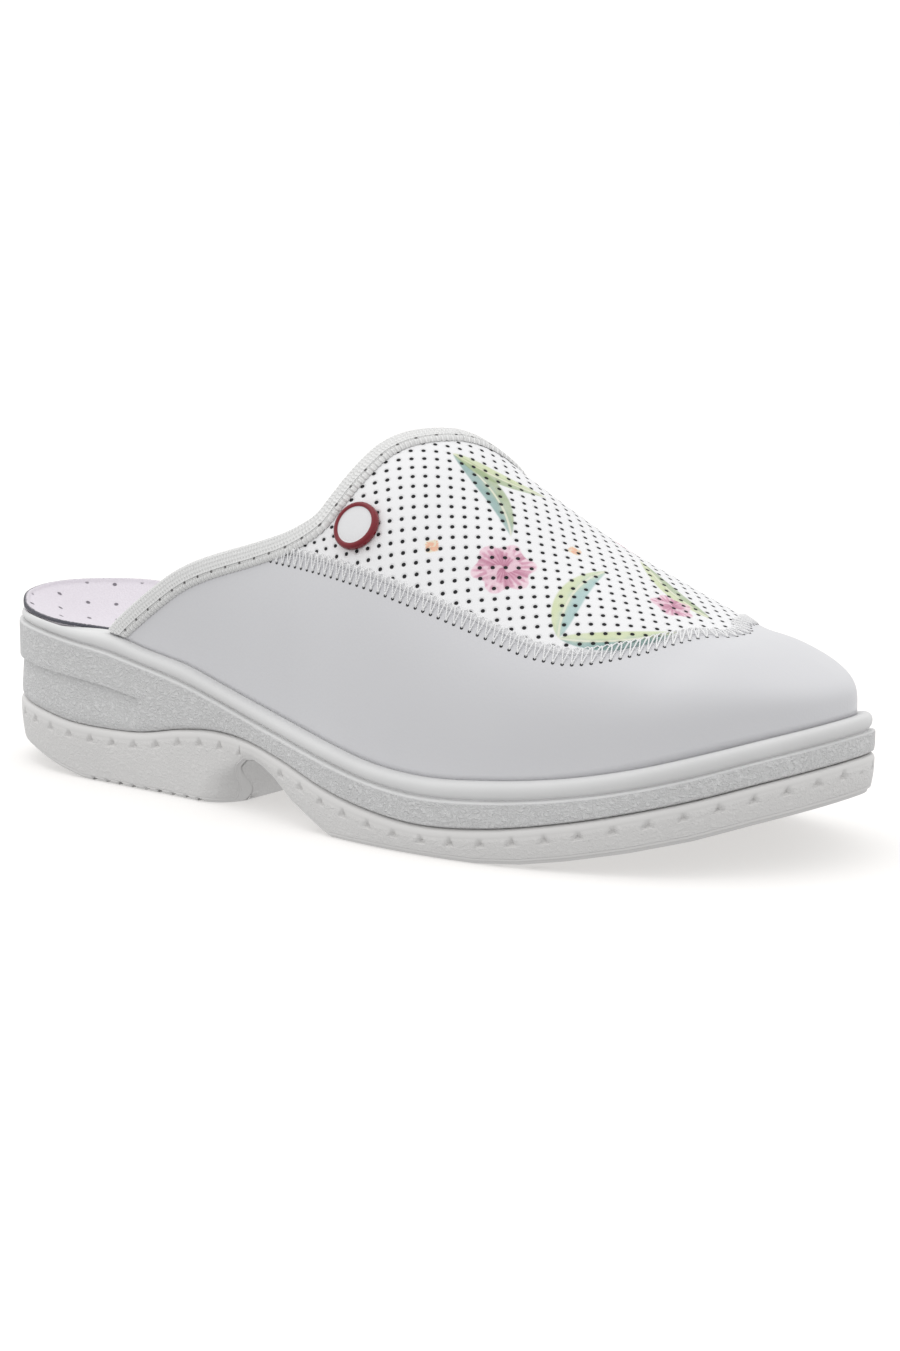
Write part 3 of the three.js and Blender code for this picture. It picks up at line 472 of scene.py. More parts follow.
def print_blossom(finish, along, across, centre, radius, petals, twist, colours):
    """One painted blossom. Its edge swings in and out with the angle, once for each petal; colour
    goes from heart to edge with streaks along each petal. Returns its mask and its colour."""
    u = along - centre[0]
    v = across - centre[1]
    angle = finish.node("ShaderNodeMath", {"operation": "ARCTAN2"}, {0: v, 1: u}) + twist
    out = (u * u + v * v).root()
    swing = (angle * float(petals)).wave()
    edge = radius * (0.88 + 0.1 * swing + 0.16 * (finish.noise(2.5) - 0.5))
    mask = (edge - out).rise(-0.1, 0.45)
    streak = (angle * float(petals) * 4.0).wave() * 0.18 + (finish.noise(1.4, 3.0) - 0.5) * 0.7
    heart, petal, pale = colours
    depth = (out / radius + streak).at_least(0.0).at_most(1.0)
    colour = finish.blend(depth.rise(0.1, 0.55), heart, petal)
    colour = finish.blend(depth.rise(0.55, 0.95), colour, pale)
    colour = finish.blend((swing + 0.9).rise(0.22, 0.0) * 0.7, colour, heart)
    ruffle = (out * (6.0 / radius) - angle * 2.0 + finish.noise(2.5) * 5.0).wave()
    colour = finish.blend(ruffle.rise(0.3, 0.95) * 0.75, colour, pale)
    return mask, colour


TEAL = (0.16, 0.34, 0.31, 1)
OLIVE = (0.33, 0.43, 0.22, 1)
LIME = (0.6, 0.68, 0.36, 1)
SAND = (0.8, 0.78, 0.58, 1)
SKY = (0.32, 0.52, 0.5, 1)
ROSE = (0.46, 0.1, 0.22, 1)
PINK = (0.64, 0.27, 0.4, 1)
BLUSH = (0.86, 0.62, 0.7, 1)
CORAL = (0.85, 0.42, 0.25, 1)
HOLE_ALONG = 2.3
HOLE_ACROSS = 2.2
HOLE_RADIUS = 0.55

# Leaves of the printed panel: base and tip on the spread sheet, width, bend, colours.
LEAVES = [
    ((-34, -10), (-4, -20), 7.0, 3.5, (TEAL, OLIVE, SAND)),
    ((-34, -10), (-12, 4), 6.0, -2.5, (OLIVE, LIME, SAND)),
    ((27, -37), (18, -8), 7.0, 3.0, (SKY, LIME, SAND)),
    ((27, -37), (45, -14), 6.5, -3.5, (TEAL, LIME, SAND)),
    ((44, 2), (16, 10), 6.0, 2.5, (OLIVE, LIME, SAND)),
    ((-18, 24), (10, 34), 6.5, 3.0, (SKY, OLIVE, SAND)),
    ((24, 36), (46, 20), 6.0, 2.5, (TEAL, LIME, SAND)),
]

# Blossoms and buds of the printed panel: centre, radius, petals, twist, colours.
FLOWER = (ROSE, PINK, BLUSH)
BUD = (CORAL, CORAL, SAND)
BLOSSOMS = [
    ((2, -29), 8.6, 6, 0.4, FLOWER), ((36, -4), 6.0, 5, 1.5, FLOWER), ((8, 20), 7.6, 6, 0.9, FLOWER),
    ((-16, -36), 2.3, 4, 0.3, BUD), ((8, -9), 2.2, 4, 0.9, BUD), ((-20, 12), 2.2, 4, 0.1, BUD),
]


def insert_finish():
    """White leather with a painted garden print and punched holes in a diagonal pattern; the holes are
    painted near-black as the shade inside them.
    """
    finish = Finish("insert_leather", Specular_IOR_Level=0.35, Coat_Weight=0.05, Coat_Roughness=0.4)
    along, across = finish.value("along"), finish.value("across")
    colour = finish.blend(finish.noise(18.0), (0.86, 0.86, 0.87, 1), (0.9, 0.9, 0.91, 1))
    for leaf in LEAVES:
        mask, tint = print_leaf(finish, along, across, *leaf)
        colour = finish.blend(mask * 0.9, colour, tint)
    for blossom in BLOSSOMS:
        mask, tint = print_blossom(finish, along, across, *blossom)
        colour = finish.blend(mask * 0.85, colour, tint)
    p, q = along / (2 * HOLE_ALONG), across / (2 * HOLE_ACROSS)
    one, other = (p + q).off_whole(), (p - q).off_whole()
    du, dv = (one + other) * HOLE_ALONG, (one - other) * HOLE_ACROSS
    gap = (du * du + dv * dv).root()
    inside = finish.value("inside").rise(1.6, 2.0)
    # Holes: near-black painted shade inside the punched holes, with a dent in the bump.
    hole_shade = gap.rise(HOLE_RADIUS + 0.08, HOLE_RADIUS - 0.1) * inside
    lip = gap.rise(HOLE_RADIUS + 0.55, HOLE_RADIUS) * inside
    finish.give(
        Base_Color=finish.blend(hole_shade, colour, (0.012, 0.012, 0.014, 1)),
        Roughness=0.46 + hole_shade * 0.45,
        Normal=finish.bump(finish.noise(14.0) * 0.5 - lip * 0.45 - hole_shade * 0.6, 0.5, 0.8),
    )
    return finish


SCALLOP_PITCH = 1.45
TAPE_STITCH = 5.5
TAPE_STITCH_LINE = 3.95


def tape_finish():
    """Elastic tape: fine ribs across it, a stitched row of dots, and ladder ribs at its inner edge. Its
    colour is painted shade of its relief, lighter on the ribs' tops and darker in their valleys and in the
    stitch trench, and the dots are painted dark as the shade inside the needle holes.
    """
    finish = Finish("collar_tape", Roughness=0.92, Specular_IOR_Level=0.2)
    finish.give(Sheen_Weight=0.25, Sheen_Roughness=0.4)
    along, across = finish.value("along"), finish.value("across")
    rib = (along * (2 * PI / 1.05) + (across * (2 * PI / 1.9)).wave() * 0.9).wave() * 0.5 + 0.5
    cord = (across * (2 * PI / 1.1)).wave() * 0.5 + 0.5
    ladder = (along * (2 * PI / SCALLOP_PITCH)).wave() * 0.5 + 0.5
    inner = across.rise(4.0, 4.3)
    du = (along / TAPE_STITCH).off_whole() * TAPE_STITCH
    dv = across - TAPE_STITCH_LINE
    trench = abs(dv).rise(0.35, 0.1)
    needle_hole_shade = (du * du + dv * dv * 1.6).root().rise(0.55, 0.25)
    fuzz = finish.noise(0.4, 3.0, 0.6)
    weave = (rib * 0.6 + cord * 0.3) * (1.0 - inner) + ladder * inner * 1.1
    height = weave + fuzz * 0.35 - trench * 0.9 - needle_hole_shade * 1.2
    # Painted shade: darker in the valleys of the ribs and the fuzz and along the stitch trench, lighter on
    # the tops.
    shade = (0.55 * weave + 0.5 * fuzz - 0.25 * trench).at_least(0.0).at_most(1.0)
    colour = finish.blend(shade, (0.78, 0.78, 0.77, 1), (0.96, 0.96, 0.955, 1))
    # The needle dots are painted dark as the shade inside the needle holes.
    colour = finish.blend(needle_hole_shade, colour, (0.16, 0.15, 0.15, 1))
    finish.give(Base_Color=colour, Normal=finish.bump(height, 0.42, 0.9))
    return finish


def thread_finish():
    """Polyester sewing thread: two twisted plies, painted darker in the grooves between them as shade."""
    finish = Finish("sewing_thread", Roughness=0.55, Specular_IOR_Level=0.4, Sheen_Weight=0.2)
    ply_and_groove_shade = (finish.value("along") * (2 * PI / 0.7) + finish.value("around") * 2 * PI).wave() * 0.5 + 0.5
    # Colour follows the ply relief: darker in the grooves, as painted shade.
    finish.give(
        Base_Color=finish.blend(ply_and_groove_shade, (0.85, 0.85, 0.86, 1), (0.96, 0.96, 0.96, 1)),
        Normal=finish.bump(ply_and_groove_shade, 0.08, 0.8),
    )
    return finish


def badge_finish():
    """Red moulded rim round a white enamel field."""
    finish = Finish("badge_enamel", Roughness=0.28, Specular_IOR_Level=0.4)
    finish.give(Coat_Weight=0.15, Coat_Roughness=0.15)
    field = finish.value("radius").rise(0.79, 0.765)
    finish.give(
        Base_Color=finish.blend(field, (0.2, 0.004, 0.013, 1), (0.78, 0.78, 0.79, 1)),
        Normal=finish.bump(finish.noise(1.2), 0.05, 0.4),
    )
    return finish


def stitch_hole_shade_finish():
    """Painted shade for the inside of a needle hole: a flat near-black colour."""
    return Finish("stitch_hole_painted_shade", Base_Color=(0.03, 0.03, 0.032, 1), Roughness=0.9)


def ring_rows(turns, rows):
    """Points of a sole layer: each row gives an inset from the outline, a share of the way from there
    to the middle line, and a height that depends on the share along the sole."""
    edge, inward = outline_point(turns), outline_inward(turns)
    share = share_at(turns)
    spine_share = np.interp(share, [0, 0.13, 0.8, 1], [0.08, 0.13, 0.8, 0.92])
    across = (outline_offset(turns) + outline_offset(-turns)) / 2
    spine = np.stack([spine_share * SOLE_LENGTH, across], -1)
    layers = []
    for inset, to_spine, height in rows:
        plan = edge + inward * np.reshape(inset, (-1, 1))
        plan = plan + (spine - plan) * to_spine
        layers.append(np.concatenate([plan, height(plan[:, 0] / SOLE_LENGTH)[:, None]], 1))
    return np.array(layers)


def raised(line, lift):
    """The height line moved up by lift."""
    return lambda share: line(share) + lift


def blend(low, high, part):
    """Height line that lies part of the way from low to high."""
    return lambda share: low(share) * (1 - part) + high(share) * part


def soften(rows):
    """Each inner row gives way to two, a quarter of the way to its neighbours; the end rows stay."""
    near = rows[:-1] * 0.75 + rows[1:] * 0.25
    far = rows[:-1] * 0.25 + rows[1:] * 0.75
    pairs = np.stack([near, far], 1).reshape((-1,) + rows.shape[1:])
    return np.concatenate([rows[:1], pairs[1:-1], rows[-1:]])


def outline_walk(turns):
    """Distance along the outline from the heel's back, at each turn, away on both sides."""
    fine = np.linspace(0, PI, FINE_STEPS)
    lateral, medial = walked_along(outline_point(-fine)), walked_along(outline_point(fine))
    away = np.abs(turns)
    return np.where(turns < 0, np.interp(away, fine, lateral), np.interp(away, fine, medial))


BREAST_ROUND = 11.0
BREAST_LINE = np.linspace(0.368, 0.407, 60)


def round_breast(points):
    """Rounds the front corners of the heel block. A point behind the block's front face moves towards
    the middle line by what a quarter circle leaves at its distance, and less the higher it lies."""
    x, y, z = points[..., 0], points[..., 1], points[..., 2]
    front = np.interp(z, underside(BREAST_LINE), BREAST_LINE) * SOLE_LENGTH
    gap = np.clip(front - x, 0, BREAST_ROUND)
    pull = BREAST_ROUND - np.sqrt(BREAST_ROUND ** 2 - (BREAST_ROUND - gap) ** 2)
    pull = pull * ease(z, 13.4, 2.0) * (x < 0.425 * SOLE_LENGTH)
    turn = turn_at(np.clip(x / SOLE_LENGTH, 0, 1))
    medial, lateral = outline_offset(turn), outline_offset(-turn)
    middle, half = (medial + lateral) / 2, np.maximum(np.abs(medial - lateral) / 2, 1)
    rounded = points.copy()
    rounded[..., 1] = middle + (y - middle) * (1 - pull / half)
    return rounded


DENT_PITCH = 8.4
DENT_DEPTH = 1.5
TREAD_INSET = 1.7
CHANNEL_PITCH = 5.0
CHANNEL_WIDTH = 1.8
CHANNEL_DEPTH = 1.2
HEEL_CHANNELS = (0.18, 8)
FORE_CHANNELS = (0.56, 8)
FORE_REACH = 0.36 * BALL_WIDTH


def channel_depth(x, zone):
    """Depth of the straight channels at x: full inside each channel, nothing between them."""
    start, count = zone
    k = np.round((x - start * SOLE_LENGTH) / CHANNEL_PITCH)
    off = np.abs(x - start * SOLE_LENGTH - k * CHANNEL_PITCH)
    inside = (off < CHANNEL_WIDTH / 2 + 1e-6) & (k >= 0) & (k <= count)
    return np.where(inside, CHANNEL_DEPTH, 0.0)


def outsole_piece():
    """Outsole's side from the tread up to the groove, as rows round the outline. The wall's inset
    grows with the square of the drop below the lip; three-sided dents are pressed into it."""
    breast = turn_at(np.linspace(0.366, 0.41, 30))
    turns = np.sort(np.concatenate([even_turns(520), breast, -breast]))
    room = lambda share: groove_line(share) - underside(share)
    lip = lambda share: groove_line(share) - np.minimum(2.2, 0.35 * room(share))
    slab_top = lambda share: underside(share) + np.minimum(1.0, 0.15 * room(share))
    wall = [(0.05 + 0.75 * t ** 2, 0, blend(lip, slab_top, t)) for t in np.linspace(0.0, 1.0, 30)]
    under_groove = raised(groove_line, -GROOVE_GAP)
    rows = [
        (1.5, 1.0, under_groove),
        (3.0, 0.0, under_groove),
        (1.5, 0.0, under_groove),
        (0.7, 0.0, raised(groove_line, -0.3)),
        (0.2, 0.0, blend(groove_line, lip, 0.4)),
        (0.0, 0.0, blend(groove_line, lip, 0.8)),
        *wall,
        (TREAD_INSET - 0.9, 0.0, slab_top),
        (TREAD_INSET - 0.75, 0.0, slab_top),
        (TREAD_INSET - 0.1, 0.0, blend(slab_top, underside, 0.1)),
        (TREAD_INSET, 0.0, blend(slab_top, underside, 0.9)),
        (TREAD_INSET + 0.45, 0.0, underside),
        (TREAD_INSET + 3.6, 0.0, raised(underside, 0.15)),
    ]
    points = soften(ring_rows(turns, rows))
    x, z = points[..., 0], points[..., 2]
    share = np.clip(x / SOLE_LENGTH, 0, 1)
    start = underside(share_at(turns))
    points[..., 2] += (underside(share) - start) * np.clip(1 - (z - start) / 1.5, 0, 1)
    inward = np.broadcast_to(outline_inward(turns), x.shape + (2,))
    walked = np.broadcast_to(outline_walk(turns), x.shape)
    along = (walked / DENT_PITCH - 0.5 - np.round(walked / DENT_PITCH - 0.5)) * DENT_PITCH
    up = z - (groove_line(share) - 3.5)
    side = np.maximum(-up, np.abs(along) * 0.866 + up * 0.5) / 0.95
    fits = (room(share) > 6.5) & (z > underside(share) + 1.5)
    dent = np.where(fits, np.clip(1 - side, 0, 1), 0) * DENT_DEPTH
    points[..., :2] += inward * dent[..., None]
    depth = channel_depth(points[..., 0], HEEL_CHANNELS)
    floor_gap = points[..., 2] - underside(share)
    points[..., 2] += np.where(floor_gap < depth, depth - floor_gap, 0)
    points = round_breast(points)
    smooth_lip = ease(groove_line(share) - z, 2.0, 3.2) * (floor_gap > 1.5)
    faces = grid_faces(len(points), len(turns), True)
    values = {"grain": smooth_lip * 0.4}
    dressed("outsole_side", points, faces, outsole_foam, ("outsole",), values)


def tread_piece():
    """Underside of the outsole: columns across the sole between both tread edges, with a column on
    each side of every channel wall. Channels are raised by their depth."""
    turns = even_turns(600)
    ring = ring_rows(turns, [(TREAD_INSET + 0.42, 0, underside)])[0]
    shares = np.concatenate([np.linspace(0.0138, 0.9862, 240), np.linspace(0.366, 0.412, 70)])
    columns = [shares * SOLE_LENGTH]
    across_wall = np.array([-1, -1, 1, 1]) * CHANNEL_WIDTH / 2 + np.array([-0.06, 0.0, 0.0, 0.06])
    for start, count in (HEEL_CHANNELS, FORE_CHANNELS):
        for k in range(count + 1):
            at = start * SOLE_LENGTH + k * CHANNEL_PITCH
            columns.append(at + across_wall)
    x = np.sort(np.concatenate(columns))
    edges = []
    for side in (-1, 1):
        own = ring[np.where(side * turns >= 0)]
        own = own[np.argsort(own[:, 0])]
        edges.append(np.interp(x, own[:, 0], own[:, 1]))
    lateral, medial = edges
    t = np.concatenate([[-1, -0.93, -0.86], np.linspace(-0.8, 0.8, 9), [0.86, 0.93, 1]])
    low, high = np.maximum(lateral, -FORE_REACH), np.minimum(medial, FORE_REACH)
    inner = low + (high - low) * (t[:, None] + 0.8) / 1.6
    y = np.where(t[:, None] < -0.8, lateral + (low - lateral) * (t[:, None] + 1) / 0.2, inner)
    y = np.where(t[:, None] > 0.8, high + (medial - high) * (t[:, None] - 0.8) / 0.2, y)
    heel = channel_depth(x, HEEL_CHANNELS)
    fore = channel_depth(x, FORE_CHANNELS)
    within = (np.abs(t[:, None]) <= 0.8) & (np.abs(y) <= FORE_REACH + 0.01)
    z = underside(x / SOLE_LENGTH) + np.where(within, np.maximum(heel, fore), heel)
    points = round_breast(np.stack([np.broadcast_to(x, y.shape), y, z], -1))
    faces = grid_faces(len(t), len(x))[:, ::-1]
    dressed("outsole_tread", points, faces, outsole_foam, (), {"grain": np.full(y.shape, 0.3)})


def upper_seat_inset(share):
    """Inset of the footbed's edge: 5 mm round the heel, and inside the upper further on."""
    return 5.0 + (FEATHER_INSET + LEATHER + 1.7 - 5.0) * ease(share, 0.1, 0.18)


def footbed_reach(turns):
    """How far the footbed's edge reaches out from its seat: 4.2 mm round the heel, nothing further on."""
    return 4.2 * ease(np.abs(turns), 0.88, 0.4)


def footbed_sink(turns):
    """How far the sole's top is let in where the footbed's edge lies over it."""
    return 1.8 * ease(np.abs(turns), 0.88, 0.58)


def midsole_piece():
    """Midsole from the groove up to the rim and into the bed, as rows round the outline. Round the
    heel the band is pressed in below the step line, by a depth that fades to nothing at the groove."""
    turns = even_turns(450)
    share = share_at(turns)
    above_groove = raised(groove_line, GROOVE_GAP)
    fraction = smooth_curve([0, 0.08, 0.16, 0.2, 0.25, 0.4], [0.534, 0.54, 0.574, 0.563, 0.514, 0.5])
    band = lambda t: lambda s: groove_line(s) + (band_line(s) - groove_line(s)) * t
    rim = lambda t: blend(band_line, rim_line, t)
    seat = upper_seat_inset(share)
    sink = footbed_sink(turns)
    low = (0.12, 0.3, 0.5, 0.68, 0.82, 0.9, 0.945, 0.965, 0.98, 0.99)
    high = (0.002, 0.01, 0.025, 0.05, 0.1, 0.2, 0.35, 0.5, 0.65, 0.8, 0.92, 1.0)
    low_band = lambda t: lambda s: band(0.02 + (fraction(s) - 0.02) * t)(s)
    high_band = lambda t: lambda s: band(fraction(s) + (1 - fraction(s)) * t)(s) - 0.6 * t
    low_part = [(0.25 - 0.25 * np.sin(PI * t * 0.5), 0, low_band(t)) for t in low]
    high_part = [(0.0, 0, high_band(t)) for t in high]
    bed = raised(rim_line, -FOOTBED_DROP - FOOTBED_THICKNESS - LAYER_GAP)
    rows = [
        (1.5, 1.0, above_groove),
        (3.0, 0.0, above_groove),
        (1.5, 0.0, above_groove),
        (0.9, 0.0, raised(groove_line, 0.35)),
        *low_part,
        *high_part,
        (0.15, 0.0, raised(band_line, -0.38)),
        (0.6, 0.0, raised(band_line, -0.2)),
        (1.6, 0.0, raised(band_line, -0.12)),
        (2.0, 0.0, band_line),
        (1.7, 0.0, raised(band_line, 0.22)),
        (1.0, 0.0, rim(0.2)),
        (0.72, 0.0, rim(0.42)),
        (0.8, 0.0, rim(0.62)),
        (1.15, 0.0, rim(0.8)),
        (1.8, 0.0, rim(0.94)),
        (2.7, 0.0, raised(rim_line, -sink * 0.75)),
        (3.5, 0.0, raised(rim_line, -sink)),
        (seat - 0.9, 0.0, raised(rim_line, -sink)),
        (seat - 0.25, 0.0, raised(rim_line, -sink - 0.05)),
        (seat, 0.0, raised(rim_line, -sink - 0.5)),
        (seat + 0.2, 0.0, bed),
        (seat + 1.5, 0.0, bed),
        (seat, 0.4, lambda s: bed(s) - cup_depth(s) * 0.64),
        (seat, 1.0, lambda s: bed(s) - cup_depth(s)),
    ]
    points = soften(ring_rows(turns, rows))
    x, z = points[..., 0], points[..., 2]
    place = np.clip(x / SOLE_LENGTH, 0, 1)
    below = (groove_line(place) + (band_line(place) - groove_line(place)) * fraction(place)) - z
    reach = (band_line(place) - groove_line(place)) * fraction(place)
    press = ease(below, -0.05, 0.25) * np.clip(1 - below / reach, 0, 1) * 1.15
    press = press * ease(place, STEP_END + 0.0008, STEP_END - 0.0008) * (z < band_line(place) - 1)
    points[..., :2] += outline_inward(turns) * press[..., None]
    grain = ease(z, band_line(place) - 0.3, band_line(place) - 0.8)
    faces = grid_faces(len(points), len(turns), True)
    dressed("midsole_body", points, faces, midsole_foam, ("midsole",), {"grain": grain})


def insole_piece():
    """Footbed: its top sinks along a parabola to the middle line, and round the heel its upper edge
    reaches out over the sole's rim."""
    turns = even_turns(240)
    share = share_at(turns)
    seat = upper_seat_inset(share) + 0.2 + 0.25
    reach, sink = footbed_reach(turns), footbed_sink(turns)
    lip = seat - reach
    top = lambda part: lambda s: rim_line(s) - FOOTBED_DROP - cup_depth(s) * (1 - (1 - part) ** 2)
    base = lambda part: lambda s: top(part)(s) - FOOTBED_THICKNESS
    lift = footbed_lift(turns)
    cupped = lambda part, extra: lambda s: top(part)(s) + lift * (1 - part) ** 3 + extra
    ledge = lambda drop: lambda s: np.minimum(rim_line(s) + 0.12, cupped(0.0, -1.0)(s)) - drop
    inner = np.linspace(0.05, 1, 26)
    rows = [
        (seat, 1.0, base(1.0)),
        (seat, 0.4, base(0.4)),
        (seat, 0.0, base(0.0)),
        (seat - 0.02, 0.0, ledge(sink)),
        (np.minimum(lip + 2.2, seat - 0.03), 0.0, ledge(sink)),
        (np.minimum(lip + 0.6, seat - 0.04), 0.0, ledge(0.0)),
        (lip + 0.1, 0.0, ledge(0.0)),
        (lip - 0.05, 0.0, cupped(0.0, -0.85)),
        (lip, 0.0, cupped(0.0, -0.25)),
        (lip + 0.4, 0.0, cupped(0.0, 0.05)),
        (lip + 1.2, 0.0, cupped(0.0, 0.05)),
        *[(seat - reach * (1 - part) ** 2, part, cupped(part, 0.0)) for part in inner],
    ]
    points = soften(ring_rows(turns, rows))
    levels = np.concatenate([np.full(7, 2.0), [0.4, 0.0, 0.35, 1.2], 1.2 + inner * 30])
    inward = soften(np.repeat(levels[:, None, None], len(turns), 1))[..., 0]
    faces = grid_faces(len(points), len(turns), True)
    values = {"inward": inward}
    dressed("insole_footbed", points, faces, insole_finish(), ("insole",), values)


def ridge_share(share):
    """The ridge runs with the outline up to its bend, then ever slower towards its end."""
    along = (share - RIDGE_BEND) / (1 - RIDGE_BEND)
    slowing = (RIDGE_END - RIDGE_BEND) / (1 - RIDGE_BEND) - 1
    late = RIDGE_BEND + (1 - RIDGE_BEND) * (along + slowing * along * along)
    return np.where(share < RIDGE_BEND, share, late)


def upper_point(turn, climb):
    """Outer surface of the upper: from the feather line on the rim a station climbs to the ridge along
    a quarter of a superellipse, with a small outward bulge low down."""
    turn, climb = np.broadcast_arrays(np.asarray(turn, float), np.asarray(climb, float))
    share = share_at(turn)
    inward = outline_inward(turn)
    feather = outline_point(turn) + inward * FEATHER_INSET
    at = ridge_share(share)
    ridge = np.stack([at * SOLE_LENGTH, ridge_offset(at)], -1)
    power = 2 / fullness(share)
    angle = climb * PI / 2
    across = 1 - np.abs(np.cos(angle)) ** power
    rise = np.abs(np.sin(angle)) ** power
    bulge = SIDE_BULGE * np.sin(PI * np.minimum(climb * 1.6, 1)) ** 2
    foot = rim_line(feather[..., 0] / SOLE_LENGTH) + 0.05
    plan = feather + (ridge - feather) * across[..., None] - inward * bulge[..., None]
    height = foot + (ridge_height(plan[..., 0] / SOLE_LENGTH) - foot) * rise
    return np.concatenate([plan, height[..., None]], -1)


def upper_frame(turn, climb):
    """Point, both tangents and outward normal of the upper's surface, by small steps."""
    turn, climb = np.broadcast_arrays(np.asarray(turn, float), np.asarray(climb, float))
    small = 1e-3
    here = upper_point(turn, climb)
    along = (upper_point(turn + small, climb) - here) / small
    step = np.where(climb > 0.5, -small, small)
    up = (upper_point(turn, climb + step) - here) / step[..., None]
    return here, along, up, unit(np.cross(up, along))


def upper_normal(turn, climb):
    """Outward normal; on the ridge it is the mean of both sides."""
    near = np.minimum(climb, 1 - 1e-3)
    own = upper_frame(turn, near)[3]
    other = upper_frame(-np.asarray(turn), near)[3]
    share = ease(climb, 0.985, 1.0)[..., None] * 0.5
    return unit(own * (1 - share) + other * share)


def seam_frame(turn, offset, lift):
    """Points near the insert's seam: offset is the distance from it over the surface, positive on the
    insert, and lift the height above the surface. Also gives the direction along it and the normal."""
    climb = seam_climb(share_at(turn))
    here, along, up, normal = upper_frame(turn, climb)
    small = 1e-3
    slope = (seam_climb(share_at(turn + small)) - seam_climb(share_at(turn - small))) / (2 * small)
    tangent = up * slope[..., None] + along
    area = np.linalg.norm(np.cross(up, along), axis=-1)
    moved = climb + offset * np.linalg.norm(tangent, axis=-1) / area
    point, _, _, face = upper_frame(turn, moved)
    return point + face * np.asarray(lift)[..., None], unit(tangent), face


SPREAD_TILT = np.radians(27.0)


def level_climb(level, share):
    """Climb of a row of the wall. Levels 0 to 1 run from the sole to the seam, 1 to 2 to the ridge."""
    seam = seam_climb(share)
    return np.where(level < 1, level * seam, seam + (level - 1) * (1 - seam))


def wall_grid(levels, columns):
    """Turn and climb of a wall from the lateral foot over the ridge to the medial foot. Each row starts
    at the collar, at a share found by repeated halving of the distance to it."""
    part = np.linspace(0, 1, columns) ** 1.15
    turns, climbs = [], []
    for side in (-1, 1):
        share = np.full_like(levels, 0.45)
        for _ in range(40):
            share = (share + collar_share(side * (1 - level_climb(levels, share)))) / 2
        turn = turn_at(share)[:, None] * (1 - part) + PI * part
        turns.append(side * turn)
        climbs.append(level_climb(levels[:, None], share_at(turn)))
    both_turn = np.concatenate([turns[0], turns[1][:-1][::-1]])
    both_climb = np.concatenate([climbs[0], climbs[1][:-1][::-1]])
    return both_turn, both_climb


def offset_wall(turn, climb, distance):
    """Surface points moved along their normals; foot rows move in plan only."""
    point = upper_point(turn, climb)
    normal = upper_normal(turn, climb)
    foot = (climb < 1e-9)[..., None]
    flat = unit(normal * (1, 1, 0))
    normal = np.where(foot, flat, normal)
    return point + normal * np.asarray(distance)[..., None]


def two_faced(outer, inner):
    """Points and quads of a sheet with an outer and an inner face, joined along its first and last row."""
    rows, columns = outer.shape[:2]
    count, last = rows * columns, (rows - 1) * columns
    sheet = grid_faces(rows, columns)
    c = np.arange(columns - 1)
    lateral = np.stack([c + 1, c, count + c, count + c + 1], 1)
    medial = np.stack([last + c, last + c + 1, count + last + c + 1, count + last + c], 1)
    points = np.concatenate([outer.reshape(-1, 3), inner.reshape(-1, 3)])
    return points, np.concatenate([sheet, (sheet + count)[:, ::-1], lateral, medial])


def upper_piece():
    """Leather shell: outer face with a step down under the insert, inner face, and the edges between
    them at the foot and at the collar."""
    leather = np.concatenate([np.linspace(0, 0.9, 40), np.linspace(0.92, 0.999, 8)])
    under = np.concatenate([[1.004, 1.012, 1.03], np.linspace(1.06, 2, 40)])
    levels = np.concatenate([leather, under])
    turn, climb = wall_grid(levels, 150)
    rows, columns = turn.shape
    both = np.concatenate([levels, levels[:-1][::-1]])[:, None]
    sink = np.where(both > 1, 1.45, 0.0) * np.ones(columns)
    sink = sink + 0.25 * ease(both, 0.955, 1.0) * (both <= 1)
    outer = offset_wall(turn, climb, -sink)
    inner = offset_wall(turn, climb, -LEATHER * np.ones_like(turn))
    points, faces = two_faced(outer, inner)
    count, start = rows * columns, np.arange(rows - 1) * columns
    collar = np.stack([count + start, count + start + columns, start + columns, start], 1)
    faces = np.concatenate([faces, collar])
    dressed("upper_shell", points, faces, leather_finish(), ("upper",))


def spread_sheet(points):
    """Flat coordinates of the insert as if it were spread out. Along is the distance in the direction
    of the falling ridge, and across is the distance walked square to that from the ridge."""
    direction = np.array([np.cos(SPREAD_TILT), 0, -np.sin(SPREAD_TILT)])
    along = points @ direction
    steps = np.diff(points, axis=0)
    lengthwise = steps @ direction
    walked = np.sqrt(np.maximum(np.sum(steps * steps, -1) - lengthwise ** 2, 0))
    total = np.concatenate([np.zeros((1, points.shape[1])), np.cumsum(walked, 0)])
    return along, total - total[len(points) // 2]


def insert_piece():
    """Printed panel: it lies in the step of the shell, and its edge rolls down at the seam."""
    levels = np.concatenate([np.linspace(1.0, 1.06, 7), np.linspace(1.08, 2, 50)])
    turn, climb = wall_grid(levels, 170)
    point = upper_point(turn, climb)
    along, across = spread_sheet(point)
    seam = upper_point(turn, seam_climb(share_at(turn)))
    inside = np.linalg.norm(point - seam, axis=-1)
    roll = np.sqrt(np.clip(1 - (1 - np.clip(inside / 0.7, 0, 1)) ** 2, 0, 1))
    outer = offset_wall(turn, climb, -1.0 + 0.95 * roll)
    inner = offset_wall(turn, climb, np.full_like(turn, -1.2))
    points, faces = two_faced(outer, inner)
    values = {
        "along": np.tile((along - 125.0).ravel(), 2),
        "across": np.tile(across.ravel(), 2),
        "inside": np.tile(inside.ravel(), 2),
    }
    dressed("printed_insert", points, faces, insert_finish(), ("vamp_insert",), values)


